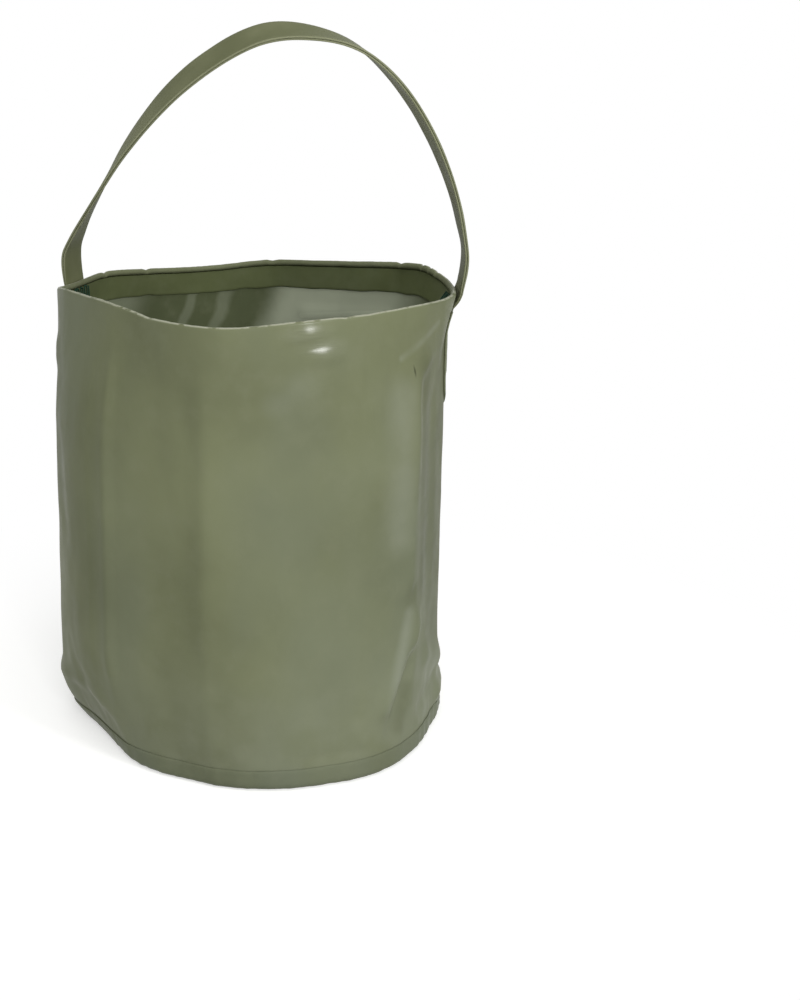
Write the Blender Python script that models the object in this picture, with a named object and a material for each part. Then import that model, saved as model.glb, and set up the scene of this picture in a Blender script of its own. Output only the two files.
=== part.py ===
"""Collapsible water bucket of coated fabric, standing open with its strap handle up.

Units are metres, +Z is up, the origin is the middle of the base on the table, and -Y is the front.
Every soft piece is first laid out on a plain cylinder, the side panel's outside, and then draped:
the drape moves it onto the panel's real shape, so pieces that lie on each other keep their clearance.
"""

import math
from collections import namedtuple
from functools import lru_cache

import bmesh
import bpy
from mathutils import Matrix, Vector

# Sizes that drive the bucket
BODY_RADIUS = 0.120  # outside of the side panel
MOUTH_HEIGHT = 0.276  # from the table to the rim
FABRIC = 0.0008  # one layer of coated fabric
GAP = 0.0003  # clearance between pieces that touch
WELD = 0.00002  # distance at which points are one point

# Base disc, with its edge turned up outside the panel's foot
BASE_CORNER = 0.005  # bend between disc and flange
FLANGE_HEIGHT = 0.013

# Side panel
FOOT_EASE = 0.075  # height over which the foot's outline fades into the body's
FOOT_CURVE = 1.5  # how it fades: 1 is a straight slope, and more is steeper towards the base
MOUTH_EASE = 0.085  # depth over which the mouth's outline fades into the body's
FOLD_FADE = 0.010  # depth below the stiff hem over which the folds flatten out
LAP_WIDTH = 0.014  # overlap of the panel's two upright edges
LAP_ANGLE = 214.0  # where the lap stands, in degrees from +X

# Rim hem, the turned-in top edge of the panel
HEM_DEPTH = 0.025
BEAD_HEIGHT = 0.0042  # the bulged fold along the top
BEAD_DEPTH = 0.0034  # how far the fold reaches into the mouth
BEAD_PROUD = 0.0005  # how far it stands out over the panel

# Strap, its patches and its sewn ends
STRAP_WIDTH = 0.025
STRAP_THICKNESS = 0.0024
STRAP_EDGE = 0.0007  # rounding of the folded edges
ARCH_RISE = 0.138  # from the swing axis to the top of the arch
AXIS_ABOVE_RIM = 0.016  # the strap bends freely below this height
PATCH_WIDTH = 0.050
PATCH_LENGTH = 0.060
PATCH_CORNER = 0.016
PATCH_BELOW_RIM = 0.011
PATCH_MARGIN = 0.006  # from the patch's rounded corners up to the strap's end
CHANNEL_SLOPE = 0.004  # where the patch comes down beside the strap
LEFT_ANGLE = 163.0
RIGHT_ANGLE = 3.0
THREAD = 0.0009
STITCH_HEIGHT = 0.011
STITCH_BELOW_RIM = 0.009
STITCHES = 9

# How finely the curves are cut
AROUND = 80
STRAP_STEPS = 2
ROOT_STEPS = 4
CORNER_STEPS = 3
HEM_STEPS = 3

# Places worked out from the sizes above
AXIS_HEIGHT = MOUTH_HEIGHT + AXIS_ABOVE_RIM
PATCH_TOP = MOUTH_HEIGHT - PATCH_BELOW_RIM
PATCH_FOOT = PATCH_TOP - PATCH_LENGTH
STRAP_FOOT = PATCH_FOOT + PATCH_CORNER + PATCH_MARGIN
HEM_FOOT = MOUTH_HEIGHT - HEM_DEPTH
PANEL_TOP = MOUTH_HEIGHT - BEAD_HEIGHT - GAP
FLANGE_MIDDLE = (BASE_CORNER + FLANGE_HEIGHT) / 2
NECK_HEIGHT = (PATCH_TOP + PANEL_TOP) / 2
ROOT_FOOT = PATCH_TOP + GAP + STRAP_THICKNESS / 5
FULL_TURN = 360.0

# The three outlines. Each row starts with an angle, the radius as a share of the body's and how
# straight the stretch up to the next row is.

# Mouth: then its height as a share of the mouth's, and the share of the mouth's ease that it takes
MOUTH_SHARES = (
    (-170.0, 0.950, 0.0, 1.010, 1.00),
    (-155.0, 0.905, 0.2, 1.014, 1.00),
    (-135.0, 0.917, 0.2, 1.016, 1.00),
    (-115.0, 0.967, 0.2, 1.001, 1.00),
    (-98.0, 1.000, 0.2, 0.996, 1.00),
    (-75.0, 0.960, 0.4, 1.004, 1.00),
    (-55.0, 0.950, 0.4, 1.005, 1.00),
    (-30.0, 0.971, 0.4, 1.003, 0.90),
    (-17.0, 0.998, 0.6, 0.997, 0.60),
    (-6.0, 1.030, 0.1, 0.995, 0.46),
    (3.0, 1.046, 0.1, 0.996, 0.42),
    (12.0, 1.049, 0.2, 1.003, 0.46),
    (24.0, 1.028, 0.3, 1.018, 0.60),
    (38.0, 1.022, 0.6, 1.011, 1.00),
    (60.0, 0.992, 0.6, 0.998, 1.00),
    (84.0, 0.967, 0.5, 0.994, 1.00),
    (105.0, 0.942, 0.5, 0.983, 1.00),
    (128.0, 0.942, 0.6, 0.988, 1.00),
    (145.0, 0.958, 0.8, 0.996, 1.00),
    (150.0, 0.958, 1.0, 0.996, 1.00),
    (176.0, 0.992, 0.2, 0.996, 1.00),
)

# Body between them
BODY_SHARES = (
    (-172.0, 1.000, 0.3),
    (-135.0, 1.003, 0.9),
    (-102.5, 1.008, 0.2),
    (-47.0, 1.002, 0.6),
    (-36.0, 1.006, 0.9),
    (-8.0, 0.990, 0.4),
    (3.0, 0.978, 0.3),
    (18.0, 0.988, 0.3),
    (40.0, 0.998, 0.4),
    (85.0, 1.000, 0.5),
    (128.0, 1.002, 0.4),
    (160.0, 1.000, 0.3),
)

# Foot: then the share of the foot's ease that it takes
FOOT_SHARES = (
    (-172.0, 0.880, 0.2, 0.48),
    (-160.0, 0.842, 0.2, 0.52),
    (-148.0, 0.838, 0.2, 0.56),
    (-134.0, 0.886, 0.2, 0.70),
    (-122.0, 0.915, 0.2, 0.85),
    (-108.0, 0.924, 0.2, 1.00),
    (-98.0, 0.955, 0.0, 1.00),
    (-86.0, 0.976, 0.0, 1.00),
    (-70.0, 0.987, 0.0, 1.00),
    (-52.0, 1.001, 0.0, 1.00),
    (-40.0, 0.992, 0.2, 1.00),
    (-28.0, 0.982, 0.2, 1.00),
    (-14.0, 0.988, 0.0, 1.00),
    (4.0, 1.000, 0.0, 1.00),
    (60.0, 0.985, 0.0, 1.00),
    (110.0, 0.985, 0.0, 1.00),
    (160.0, 0.970, 0.0, 0.80),
    (178.0, 0.930, 0.2, 0.55),
)

# Folds and dents in the panel: the line that each follows, as angles and shares of the mouth's
# height, its widths to the left and right of that line and its lift, all three as shares of the
# body's radius, and how sharp its crest is
RIGHT_FACET_LEFT_EDGE = (
    (-16.0, 0.957),
    (-25.0, 0.926),
    (-38.0, 0.913),
    (-45.5, 0.884),
    (-47.5, 0.841),
    (-47.5, 0.507),
)
RIGHT_FACET_RIGHT_EDGE = (
    (-14.0, 0.922),
    (-26.0, 0.893),
    (-31.5, 0.870),
    (-35.0, 0.853),
    (-37.0, 0.804),
    (-39.0, 0.543),
    (-39.0, 0.417),
)
FOLD_SHARES = (
    (RIGHT_FACET_LEFT_EDGE, 0.100, 0.067, -0.0067, 0.3),
    (RIGHT_FACET_RIGHT_EDGE, 0.067, 0.150, 0.0200, 0.7),
    (((182.0, 0.928), (184.0, 0.855)), 0.092, 0.092, 0.0117, 0.0),
    (((-24.0, 0.779), (-24.0, 0.344)), 0.117, 0.117, -0.0083, 0.0),
    (((-34.0, 0.304), (-49.0, 0.145)), 0.067, 0.117, 0.0250, 0.5),
    (((-38.0, 0.239), (-46.0, 0.087)), 0.083, 0.083, -0.0233, 0.1),
    (((-24.0, 0.203), (-6.0, 0.152)), 0.108, 0.083, 0.0200, 0.2),
    (((-4.0, 0.125), (-30.0, 0.098)), 0.050, 0.067, -0.0150, 0.6),
    (((-131.0, 0.949), (-128.0, 0.931), (-126.0, 0.902)), 0.033, 0.033, -0.0050, 0.7),
    (((-135.0, 0.906), (-135.0, 0.217)), 0.067, 0.067, 0.0083, 0.4),
    (((-102.5, 0.906), (-102.5, 0.326)), 0.167, 0.100, 0.0100, 0.5),
    (((-82.0, 0.964), (-70.0, 0.971)), 0.058, 0.050, 0.0075, 0.0),
    (((-80.0, 0.862), (-74.0, 0.826)), 0.100, 0.100, 0.0067, 0.0),
    (((-90.0, 0.812), (-82.0, 0.793)), 0.083, 0.083, 0.0058, 0.0),
    (((-76.0, 0.072), (-56.0, 0.069)), 0.033, 0.033, -0.0067, 0.5),
    (((-178.0, 0.123), (-150.0, 0.138), (-136.0, 0.109)), 0.083, 0.050, 0.0150, 0.6),
    (((60.0, 0.616), (84.0, 0.308)), 0.167, 0.167, -0.0117, 0.1),
    (((140.0, 0.543), (128.0, 0.199)), 0.150, 0.150, -0.0100, 0.1),
    (((100.0, 0.851), (112.0, 0.652)), 0.117, 0.117, -0.0083, 0.2),
    (((20.0, 0.725), (34.0, 0.435)), 0.133, 0.100, 0.0117, 0.3),
    (((-168.0, 0.688), (-160.0, 0.471)), 0.117, 0.117, -0.0067, 0.1),
)
CREST_CURVE = 1.6  # how quickly a sharp crest falls off beside its line

# Route of the strap's middle line, left to right over the top: distance to the right and back as
# shares of the body's radius, height over the swing axis as a share of the rise, and the strap's
# tilt in degrees, positive where its front edge turns in under the arch
ROUTE_SHARES = (
    (-0.938, 0.246, 0.000, -18.0),
    (-0.908, 0.217, 0.072, -12.0),
    (-0.850, 0.158, 0.174, -5.0),
    (-0.722, 0.017, 0.362, 2.0),
    (-0.588, -0.092, 0.543, 9.0),
    (-0.338, -0.208, 0.787, 22.0),
    (-0.014, -0.267, 0.970, 24.0),
    (0.208, -0.275, 1.000, 20.0),
    (0.488, -0.258, 0.945, 1.0),
    (0.683, -0.233, 0.804, -7.0),
    (0.822, -0.188, 0.638, -8.0),
    (0.929, -0.138, 0.464, -6.0),
    (1.007, -0.085, 0.290, -4.0),
    (1.059, -0.028, 0.116, -1.0),
    (1.081, 0.015, 0.000, 3.0),
)
ROOT_TILTS = (-21.0, -1.0)  # the strap's tilt where it leaves the left and the right patch
ROOT_LEANS = (0.12, 0.35)  # how steeply it leaves the panel there


def smooth(share):
    """An even rise from 0 to 1, level at both ends."""
    share = min(max(share, 0.0), 1.0)
    return share * share * (3.0 - 2.0 * share)


def turn_between(start, end):
    """The signed turn in degrees from one angle to another, the short way."""
    return (end - start + FULL_TURN / 2) % FULL_TURN - FULL_TURN / 2


def find_stretch(table, angle):
    """The number of the outline's stretch that an angle is in, and how far along it lies."""
    for number, point in enumerate(table):
        width = (table[(number + 1) % len(table)][0] - point[0]) % FULL_TURN
        ahead = (angle - point[0]) % FULL_TURN
        if ahead < width:
            return number, ahead / width
    return 0, 0.0


def curve_value(table, column, number, along):
    """A value of the outline, on a smooth curve through its points."""
    places = [(number + step) % len(table) for step in (-1, 0, 1, 2)]
    before, start, end, after = (table[place][column] for place in places)
    turns = [(table[places[i + 1]][0] - table[places[i]][0]) % FULL_TURN for i in range(3)]
    slopes = [(start - before) / turns[0], (end - start) / turns[1], (after - end) / turns[2]]
    leave = (slopes[0] * turns[1] + slopes[1] * turns[0]) / (turns[0] + turns[1]) * turns[1]
    arrive = (slopes[1] * turns[2] + slopes[2] * turns[1]) / (turns[1] + turns[2]) * turns[1]
    square, cube = along**2, along**3
    return (
        (2 * cube - 3 * square + 1) * start
        + (cube - 2 * square + along) * leave
        + (3 * square - 2 * cube) * end
        + (cube - square) * arrive
    )


def outline_values(table, angle):
    """Radius share of an outline at an angle, followed by its further values there."""
    number, along = find_stretch(table, angle)
    first, second = table[number], table[(number + 1) % len(table)]
    turn = math.radians((second[0] - first[0]) % FULL_TURN)
    spread = first[1] * math.sin(turn * along) + second[1] * math.sin(turn * (1 - along))
    chord = first[1] * second[1] * math.sin(turn) / spread
    straight = first[2]
    radius = chord * straight + curve_value(table, 1, number, along) * (1 - straight)
    return [radius] + [curve_value(table, column, number, along) for column in range(3, len(first))]


Outlines = namedtuple("Outlines", "mouth mouth_rise mouth_ease body foot foot_ease")


@lru_cache(maxsize=None)
def outlines(angle):
    """The values of the three outlines at an angle."""
    tables = (MOUTH_SHARES, BODY_SHARES, FOOT_SHARES)
    return Outlines(*(value for table in tables for value in outline_values(table, angle)))


def fold_lift(angle, height):
    """How far the panel's folds push it out at a place."""
    lift = 0.0
    for line, left_share, right_share, lift_share, sharpness in FOLD_SHARES:
        nearest = math.inf
        for start, end in zip(line, line[1:]):
            turns = turn_between(start[0], end[0]), turn_between(start[0], angle)
            across, aside = (math.radians(turn) * BODY_RADIUS for turn in turns)
            run = Vector((across, (end[1] - start[1]) * MOUTH_HEIGHT))
            place = Vector((aside, height - start[1] * MOUTH_HEIGHT))
            along = min(max(place.dot(run) / run.length_squared, 0.0), 1.0)
            distance = (place - run * along).length
            if distance < nearest:
                nearest = distance
                on_left = run.x * place.y > run.y * place.x
        away = nearest / BODY_RADIUS / (left_share if on_left else right_share)
        if away < 1:
            soft, sharp = (1 - away**2) ** 2, (1 - away) ** CREST_CURVE
            lift += lift_share * BODY_RADIUS * (soft * (1 - sharpness) + sharp * sharpness)
    return lift * smooth((HEM_FOOT - height) / FOLD_FADE)


def panel_radius(angle, height):
    """Radius of the side panel's outside at an angle and height."""
    here = outlines(angle)
    low = max(1 - height / (FOOT_EASE * here.foot_ease), 0.0) ** FOOT_CURVE
    high = smooth(1 - (MOUTH_HEIGHT - height) / (MOUTH_EASE * here.mouth_ease))
    share = 1 + (here.foot - 1) * low + (here.mouth - 1) * high
    share += (here.body - 1) * (1 - low) * (1 - high)
    return BODY_RADIUS * share + fold_lift(angle, height)


def flat_between_cuts(angle, height):
    """Radius of the panel's outside as it is cut, flat between one upright edge and the next."""
    step = FULL_TURN / AROUND
    first = math.floor(angle / step) * step
    start = panel_radius(first, height)
    end = panel_radius(first + step, height)
    whole, turn = math.radians(step), math.radians(angle - first)
    return start * end * math.sin(whole) / (start * math.sin(turn) + end * math.sin(whole - turn))


def drape(point):
    """Moves a point from the plain cylinder to the panel's real shape."""
    angle = math.degrees(math.atan2(point.y, point.x))
    radius = math.hypot(point.x, point.y)
    shift = flat_between_cuts(angle, point.z) - BODY_RADIUS
    radius += shift * min(radius / BODY_RADIUS, 1.0)
    rise = (outlines(angle).mouth_rise - 1) * MOUTH_HEIGHT
    height = point.z + rise * (point.z / MOUTH_HEIGHT) ** 4
    turn = math.radians(angle)
    return Vector((radius * math.cos(turn), radius * math.sin(turn), height))


def on_panel(angle, across, height, offset):
    """A draped point beside an angle, given by its distance along the panel and off its outside."""
    turn = math.radians(angle) + across / BODY_RADIUS
    radius = BODY_RADIUS + offset
    return drape(Vector((radius * math.cos(turn), radius * math.sin(turn), height)))


def make_material(name, colour, roughness):
    material = bpy.data.materials.new(name)
    material.use_nodes = True
    shader = material.node_tree.nodes["Principled BSDF"]
    shader.inputs["Base Color"].default_value = (*colour, 1.0)
    shader.inputs["Roughness"].default_value = roughness
    shader.inputs["Metallic"].default_value = 0.0
    material.diffuse_color = (*colour, 1.0)
    return material


def add_object(name, data, material, origin=None):
    """Links a mesh or curve to the scene; a mesh may get its origin at a given point."""
    if origin is not None:
        data.transform(Matrix.Translation(-origin))
    data.materials.append(material)
    piece = bpy.data.objects.new(name, data)
    piece.location = origin if origin is not None else Vector((0, 0, 0))
    bpy.context.scene.collection.objects.link(piece)
    return piece


def finish_mesh(shape, name, smooth_angle):
    """Turns a bmesh into a mesh with its faces outwards and its round sides smooth."""
    bmesh.ops.recalc_face_normals(shape, faces=shape.faces)
    mesh = bpy.data.meshes.new(name)
    shape.to_mesh(mesh)
    shape.free()
    mesh.shade_smooth()
    mesh.set_sharp_from_angle(angle=math.radians(smooth_angle))
    return mesh


def turned_piece(name, profile, material, closed, lap=False):
    """Spins a profile of radii and heights round the bucket's middle, then drapes it."""
    shape = bmesh.new()
    points = [shape.verts.new((radius, 0, height)) for radius, height in profile]
    edges = [shape.edges.new(pair) for pair in zip(points, points[1:])]
    if closed:
        edges.append(shape.edges.new((points[-1], points[0])))
    bmesh.ops.spin(
        shape,
        geom=points + edges,
        cent=(0, 0, 0),
        axis=(0, 0, 1),
        angle=math.radians(FULL_TURN),
        steps=AROUND,
        use_merge=True,
    )
    bmesh.ops.remove_doubles(shape, verts=shape.verts, dist=WELD)
    if lap:
        thicken_lap(shape)
    for point in shape.verts:
        point.co = drape(point.co)
    return add_object(name, finish_mesh(shape, name, 40), material)


def thicken_lap(shape):
    """Adds the second layer on the inside of the panel where its upright edges overlap."""
    reach = LAP_WIDTH / 2 + math.radians(FULL_TURN / AROUND) * BODY_RADIUS / 2
    for point in shape.verts:
        radius = math.hypot(point.co.x, point.co.y)
        angle = math.degrees(math.atan2(point.co.y, point.co.x))
        away = abs(math.radians(turn_between(LAP_ANGLE, angle))) * BODY_RADIUS
        inside = radius < BODY_RADIUS - FABRIC / 2
        if inside and away < reach and FLANGE_HEIGHT < point.co.z < HEM_FOOT - GAP:
            share = (radius - FABRIC) / radius
            point.co.x *= share
            point.co.y *= share


def make_base_disc(material):
    """A disc whose edge is bent up outside the panel's foot and welded to it."""
    outside = BODY_RADIUS + GAP + FABRIC
    profile = [(0, 0)]
    for inner in (False, True):
        layer = FABRIC if inner else 0
        bend = BASE_CORNER - layer
        arc = []
        for step in range(CORNER_STEPS + 1):
            turn = math.radians(90 * step / CORNER_STEPS)
            arc.append(
                (
                    outside - BASE_CORNER + bend * math.sin(turn),
                    BASE_CORNER - bend * math.cos(turn),
                )
            )
        arc.append((outside - layer, FLANGE_MIDDLE))
        arc.append((outside - layer, FLANGE_HEIGHT))
        profile += reversed(arc) if inner else arc
    profile.append((0, FABRIC))
    return turned_piece("base_disc", profile, material, closed=False)


def even_rows(low, high, count):
    return [low + (high - low) * step / count for step in range(count)]


def patch_rows():
    """Heights at which the patch is cut: its rounded foot, the strap's end, and the rest."""
    rows = []
    for step in range(CORNER_STEPS + 1):
        turn = math.radians(90 * step / CORNER_STEPS)
        rows.append(PATCH_FOOT + PATCH_CORNER * (1 - math.cos(turn)))
    rows.append(STRAP_FOOT - GAP)
    rows.append((STRAP_FOOT + HEM_FOOT) / 2)
    rows += even_rows(HEM_FOOT, PATCH_TOP, HEM_STEPS)
    rows.append(PATCH_TOP)
    return sorted(rows)


def make_side_panel(material):
    """The rolled panel, one layer thick, cut at the heights where other pieces begin and end."""
    rows = [BASE_CORNER, FLANGE_MIDDLE]
    rows += even_rows(FLANGE_HEIGHT, FOOT_EASE, 4)
    rows += even_rows(FOOT_EASE, PATCH_FOOT, 5)
    rows += patch_rows()
    rows += [NECK_HEIGHT, PANEL_TOP]
    outer = [(BODY_RADIUS, height) for height in rows]
    inner = [(BODY_RADIUS - FABRIC, height) for height in reversed(rows)]
    return turned_piece("side_panel", outer + inner, material, closed=True, lap=True)


def make_rim_hem(material):
    """The top edge of the panel: a bulged fold, and the band that is turned in and welded."""
    band_out = BODY_RADIUS - FABRIC - GAP
    band_in = band_out - FABRIC
    bead_out = BODY_RADIUS + BEAD_PROUD
    bead_in = BODY_RADIUS - BEAD_DEPTH
    bead_foot = MOUTH_HEIGHT - BEAD_HEIGHT
    band_rows = [height for height in patch_rows() if height >= HEM_FOOT] + [NECK_HEIGHT]
    bead_middle = (bead_out + bead_in) / 2
    profile = [(band_out, height) for height in band_rows]
    profile.append((band_out, bead_foot))
    profile.append((bead_out - BEAD_PROUD / 2, bead_foot))
    steps = 2 * CORNER_STEPS
    for step in range(steps + 1):
        turn = math.radians(180 * step / steps)
        across = (bead_out - bead_in) / 2 * math.cos(turn)
        up = BEAD_HEIGHT / 2 * math.sin(turn)
        profile.append((bead_middle + across, MOUTH_HEIGHT - BEAD_HEIGHT / 2 + up))
    profile.append((band_in, bead_foot - BEAD_HEIGHT / 2))
    profile += [(band_in, height) for height in reversed(band_rows)]
    return turned_piece("rim_hem", profile, material, closed=True)


def patch_half_width(height):
    """Half the patch's width at a height: full, and drawn in along the rounded foot."""
    up = height - PATCH_FOOT
    if up >= PATCH_CORNER:
        return PATCH_WIDTH / 2
    return PATCH_WIDTH / 2 - PATCH_CORNER + math.sqrt(PATCH_CORNER**2 - (PATCH_CORNER - up) ** 2)


def laid_on_panel(name, angle, rows, columns, half_width, offset, thickness, material):
    """A sheet laid on the panel: a grid extruded once, with both its faces draped over the panel."""
    shape = bmesh.new()
    across_layer = shape.verts.layers.float.new("across")
    height_layer = shape.verts.layers.float.new("height")
    bmesh.ops.create_grid(shape, x_segments=len(columns) - 1, y_segments=len(rows) - 1, size=1)
    for point in shape.verts:
        height = rows[round((point.co.y + 1) / 2 * (len(rows) - 1))]
        column = columns[round((point.co.x + 1) / 2 * (len(columns) - 1))]
        point[across_layer] = column * half_width(height)
        point[height_layer] = height
    grown = bmesh.ops.extrude_face_region(shape, geom=list(shape.faces))["geom"]
    outer = {item for item in grown if isinstance(item, bmesh.types.BMVert)}
    for point in shape.verts:
        across, height = point[across_layer], point[height_layer]
        lift = offset(across, height) + (thickness if point in outer else 0)
        point.co = on_panel(angle, across, height, lift)
    return add_object(name, finish_mesh(shape, name, 40), material)


def make_patch(name, angle, material):
    """The piece welded over a strap end, raised over the strap like a flat channel."""
    channel = STRAP_WIDTH / 2 + 2 * GAP
    beside = channel + CHANNEL_SLOPE
    edge = PATCH_WIDTH / 2
    half = [channel / 2, channel, beside, (beside + edge) / 2, edge]
    columns = [-place / edge for place in reversed(half)] + [0] + [place / edge for place in half]

    def offset(across, height):
        raised = height > STRAP_FOOT - 2 * GAP and abs(across) < (channel + beside) / 2
        return 2 * GAP + STRAP_THICKNESS if raised else GAP

    return laid_on_panel(
        name, angle, patch_rows(), columns, patch_half_width, offset, FABRIC, material
    )


def make_strap_end(name, angle, material):
    """The sewn end of the strap, flat on the panel under its patch."""
    rows = [STRAP_FOOT] + [height for height in patch_rows() if height > STRAP_FOOT]
    columns = [step / 3 for step in range(-3, 4)]
    return laid_on_panel(
        name,
        angle,
        rows,
        columns,
        lambda height: STRAP_WIDTH / 2,
        lambda across, height: GAP,
        STRAP_THICKNESS,
        material,
    )


def make_stitching(name, angle, material):
    """Thread that tacks a strap end through panel and hem, to and fro on the hem's inner face."""
    offset = -2 * FABRIC - 2 * GAP - THREAD / 2
    top = MOUTH_HEIGHT - STITCH_BELOW_RIM
    width = STRAP_WIDTH - 4 * THREAD
    curve = bpy.data.curves.new(name, "CURVE")
    curve.dimensions = "3D"
    curve.bevel_depth = THREAD / 2
    curve.bevel_resolution = 1
    curve.use_fill_caps = True
    line = curve.splines.new("POLY")
    line.points.add(2 * STITCHES - 1)
    for number, point in enumerate(line.points):
        across = width * (number // 2 / (STITCHES - 1) - 0.5)
        up = (number + 1) // 2 % 2
        place = on_panel(angle, across, top - STITCH_HEIGHT * up, offset)
        point.co = (*place, 1.0)
    return add_object(name, curve, material)


def strap_stations():
    """Places and tilts along the strap: out of the left patch, along the route, into the right."""
    rise = GAP + STRAP_THICKNESS / 2
    stations = [(on_panel(LEFT_ANGLE, 0, ROOT_FOOT, rise), ROOT_TILTS[0])]
    for right, back, up, tilt in ROUTE_SHARES:
        place = Vector((right * BODY_RADIUS, back * BODY_RADIUS, AXIS_HEIGHT + up * ARCH_RISE))
        stations.append((place, tilt))
    stations.append((on_panel(RIGHT_ANGLE, 0, ROOT_FOOT, rise), ROOT_TILTS[1]))
    return stations


def strap_frame(place, along, tilt):
    """A section's frame: its width, its face and the way it runs, at its place."""
    run = along.normalized()
    inward = Vector((0, 1, 0)).cross(run).normalized()
    turn = math.radians(tilt)
    width = Vector((0, -1, 0)) * math.cos(turn) + inward * math.sin(turn)
    width = (width - run * width.dot(run)).normalized()
    face = run.cross(width)
    frame = Matrix((width, face, run)).transposed().to_4x4()
    frame.translation = place
    return frame


def panel_frame(angle, front):
    """The section with which the strap leaves a patch, lined up with the panel and its edge."""
    height = ROOT_FOOT
    offset = GAP + STRAP_THICKNESS / 2
    half = front * STRAP_WIDTH / 2
    width = on_panel(angle, half, height, offset) - on_panel(angle, -half, height, offset)
    above = on_panel(angle, 0, height + BEAD_HEIGHT, offset)
    below = on_panel(angle, 0, height - BEAD_HEIGHT, offset)
    face = ((above - below) * front).cross(width).normalized()
    width.normalize()
    frame = Matrix((width, face, width.cross(face))).transposed().to_4x4()
    frame.translation = on_panel(angle, 0, height, offset)
    return frame


def root_way(angle, lean):
    """The way the strap takes out of a patch: up along the panel, leaning out from it."""
    frame = panel_frame(angle, 1)
    outwards = Vector((math.cos(math.radians(angle)), math.sin(math.radians(angle)), 0))
    return frame.col[2].to_3d() + outwards * lean


def strap_frames(first, last, steps):
    """Frames on a smooth curve through the strap's stations, from one station to another."""
    stations = strap_stations()
    places = [place for place, tilt in stations]
    ways = [root_way(LEFT_ANGLE, ROOT_LEANS[0])]
    ways += [(places[i + 1] - places[i - 1]) / 2 for i in range(1, len(places) - 1)]
    ways.append(-root_way(RIGHT_ANGLE, ROOT_LEANS[1]))
    frames = []
    for number in range(first, last):
        start, end = places[number], places[number + 1]
        length = (end - start).length
        leave = ways[number].normalized() * length
        arrive = ways[number + 1].normalized() * length
        for step in range(steps + (number == last - 1)):
            t = step / steps
            place = start.copy()
            place *= 2 * t**3 - 3 * t**2 + 1
            place += leave * (t**3 - 2 * t**2 + t)
            place += end * (3 * t**2 - 2 * t**3)
            place += arrive * (t**3 - t**2)
            way = (start - end) * (6 * t**2 - 6 * t)
            way += leave * (3 * t**2 - 4 * t + 1) + arrive * (3 * t**2 - 2 * t)
            tilt = stations[number][1] * (1 - t) + stations[number + 1][1] * t
            frames.append(strap_frame(place, way, tilt))
    return frames


def strap_section():
    """The strap's cross-section, flat with rounded edges, as points across and through it."""
    half, thick = STRAP_WIDTH / 2, STRAP_THICKNESS / 2
    corner = ((half, thick - STRAP_EDGE), (half - STRAP_EDGE, thick))
    points = []
    for across, through in ((1, 1), (-1, 1), (-1, -1), (1, -1)):
        ordered = corner if across * through > 0 else reversed(corner)
        points += [(across * x, through * y) for x, y in ordered]
    return points


def swept_strap(name, frames, material, origin=None):
    """Extrudes the strap's section from frame to frame."""
    shape = bmesh.new()
    first = [shape.verts.new(frames[0] @ Vector((x, y, 0))) for x, y in strap_section()]
    end = shape.faces.new(first)
    shape.faces.new(reversed([shape.verts.new(point.co) for point in first]))
    for before, after in zip(frames, frames[1:]):
        grown = bmesh.ops.extrude_face_region(shape, geom=[end])["geom"]
        bmesh.ops.delete(shape, geom=[end], context="FACES_ONLY")
        end = next(item for item in grown if isinstance(item, bmesh.types.BMFace))
        points = [item for item in grown if isinstance(item, bmesh.types.BMVert)]
        bmesh.ops.transform(shape, matrix=after @ before.inverted(), verts=points)
    bmesh.ops.remove_doubles(shape, verts=shape.verts, dist=WELD)
    return add_object(name, finish_mesh(shape, name, 50), material, origin)


def shortened(frames, at_start, at_end):
    """The same frames with the first and last drawn back a little along the strap."""
    frames = [frame.copy() for frame in frames]
    frames[0].translation += frames[0].col[2].to_3d() * at_start
    frames[-1].translation -= frames[-1].col[2].to_3d() * at_end
    return frames


def make_strap(material):
    """The free arch, which swings, and the two short stretches below the axis, which bend."""
    last = len(ROUTE_SHARES)
    left, right = (strap_stations()[number][0] for number in (1, last))
    pivot = (left + right) / 2
    axis = bpy.data.objects.new("handle_axis", None)
    axis.location = pivot
    axis.rotation_euler = (0, 0, math.atan2(right.y - left.y, right.x - left.x))
    axis.empty_display_size = STRAP_WIDTH
    bpy.context.scene.collection.objects.link(axis)
    arch = swept_strap("handle_strap", strap_frames(1, last, STRAP_STEPS), material, pivot)
    arch.parent = axis
    arch.matrix_parent_inverse = Matrix.Translation(pivot) @ axis.rotation_euler.to_matrix().to_4x4()
    arch.matrix_parent_inverse.invert()
    left_root = strap_frames(0, 1, ROOT_STEPS)
    left_root[0] = panel_frame(LEFT_ANGLE, 1)
    swept_strap("strap_root_left", shortened(left_root, 0, GAP), material)
    right_root = strap_frames(last, last + 1, ROOT_STEPS)
    right_root[-1] = panel_frame(RIGHT_ANGLE, -1)
    swept_strap("strap_root_right", shortened(right_root, GAP, 0), material)


def clear_scene():
    for piece in list(bpy.data.objects):
        bpy.data.objects.remove(piece, do_unlink=True)


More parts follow.
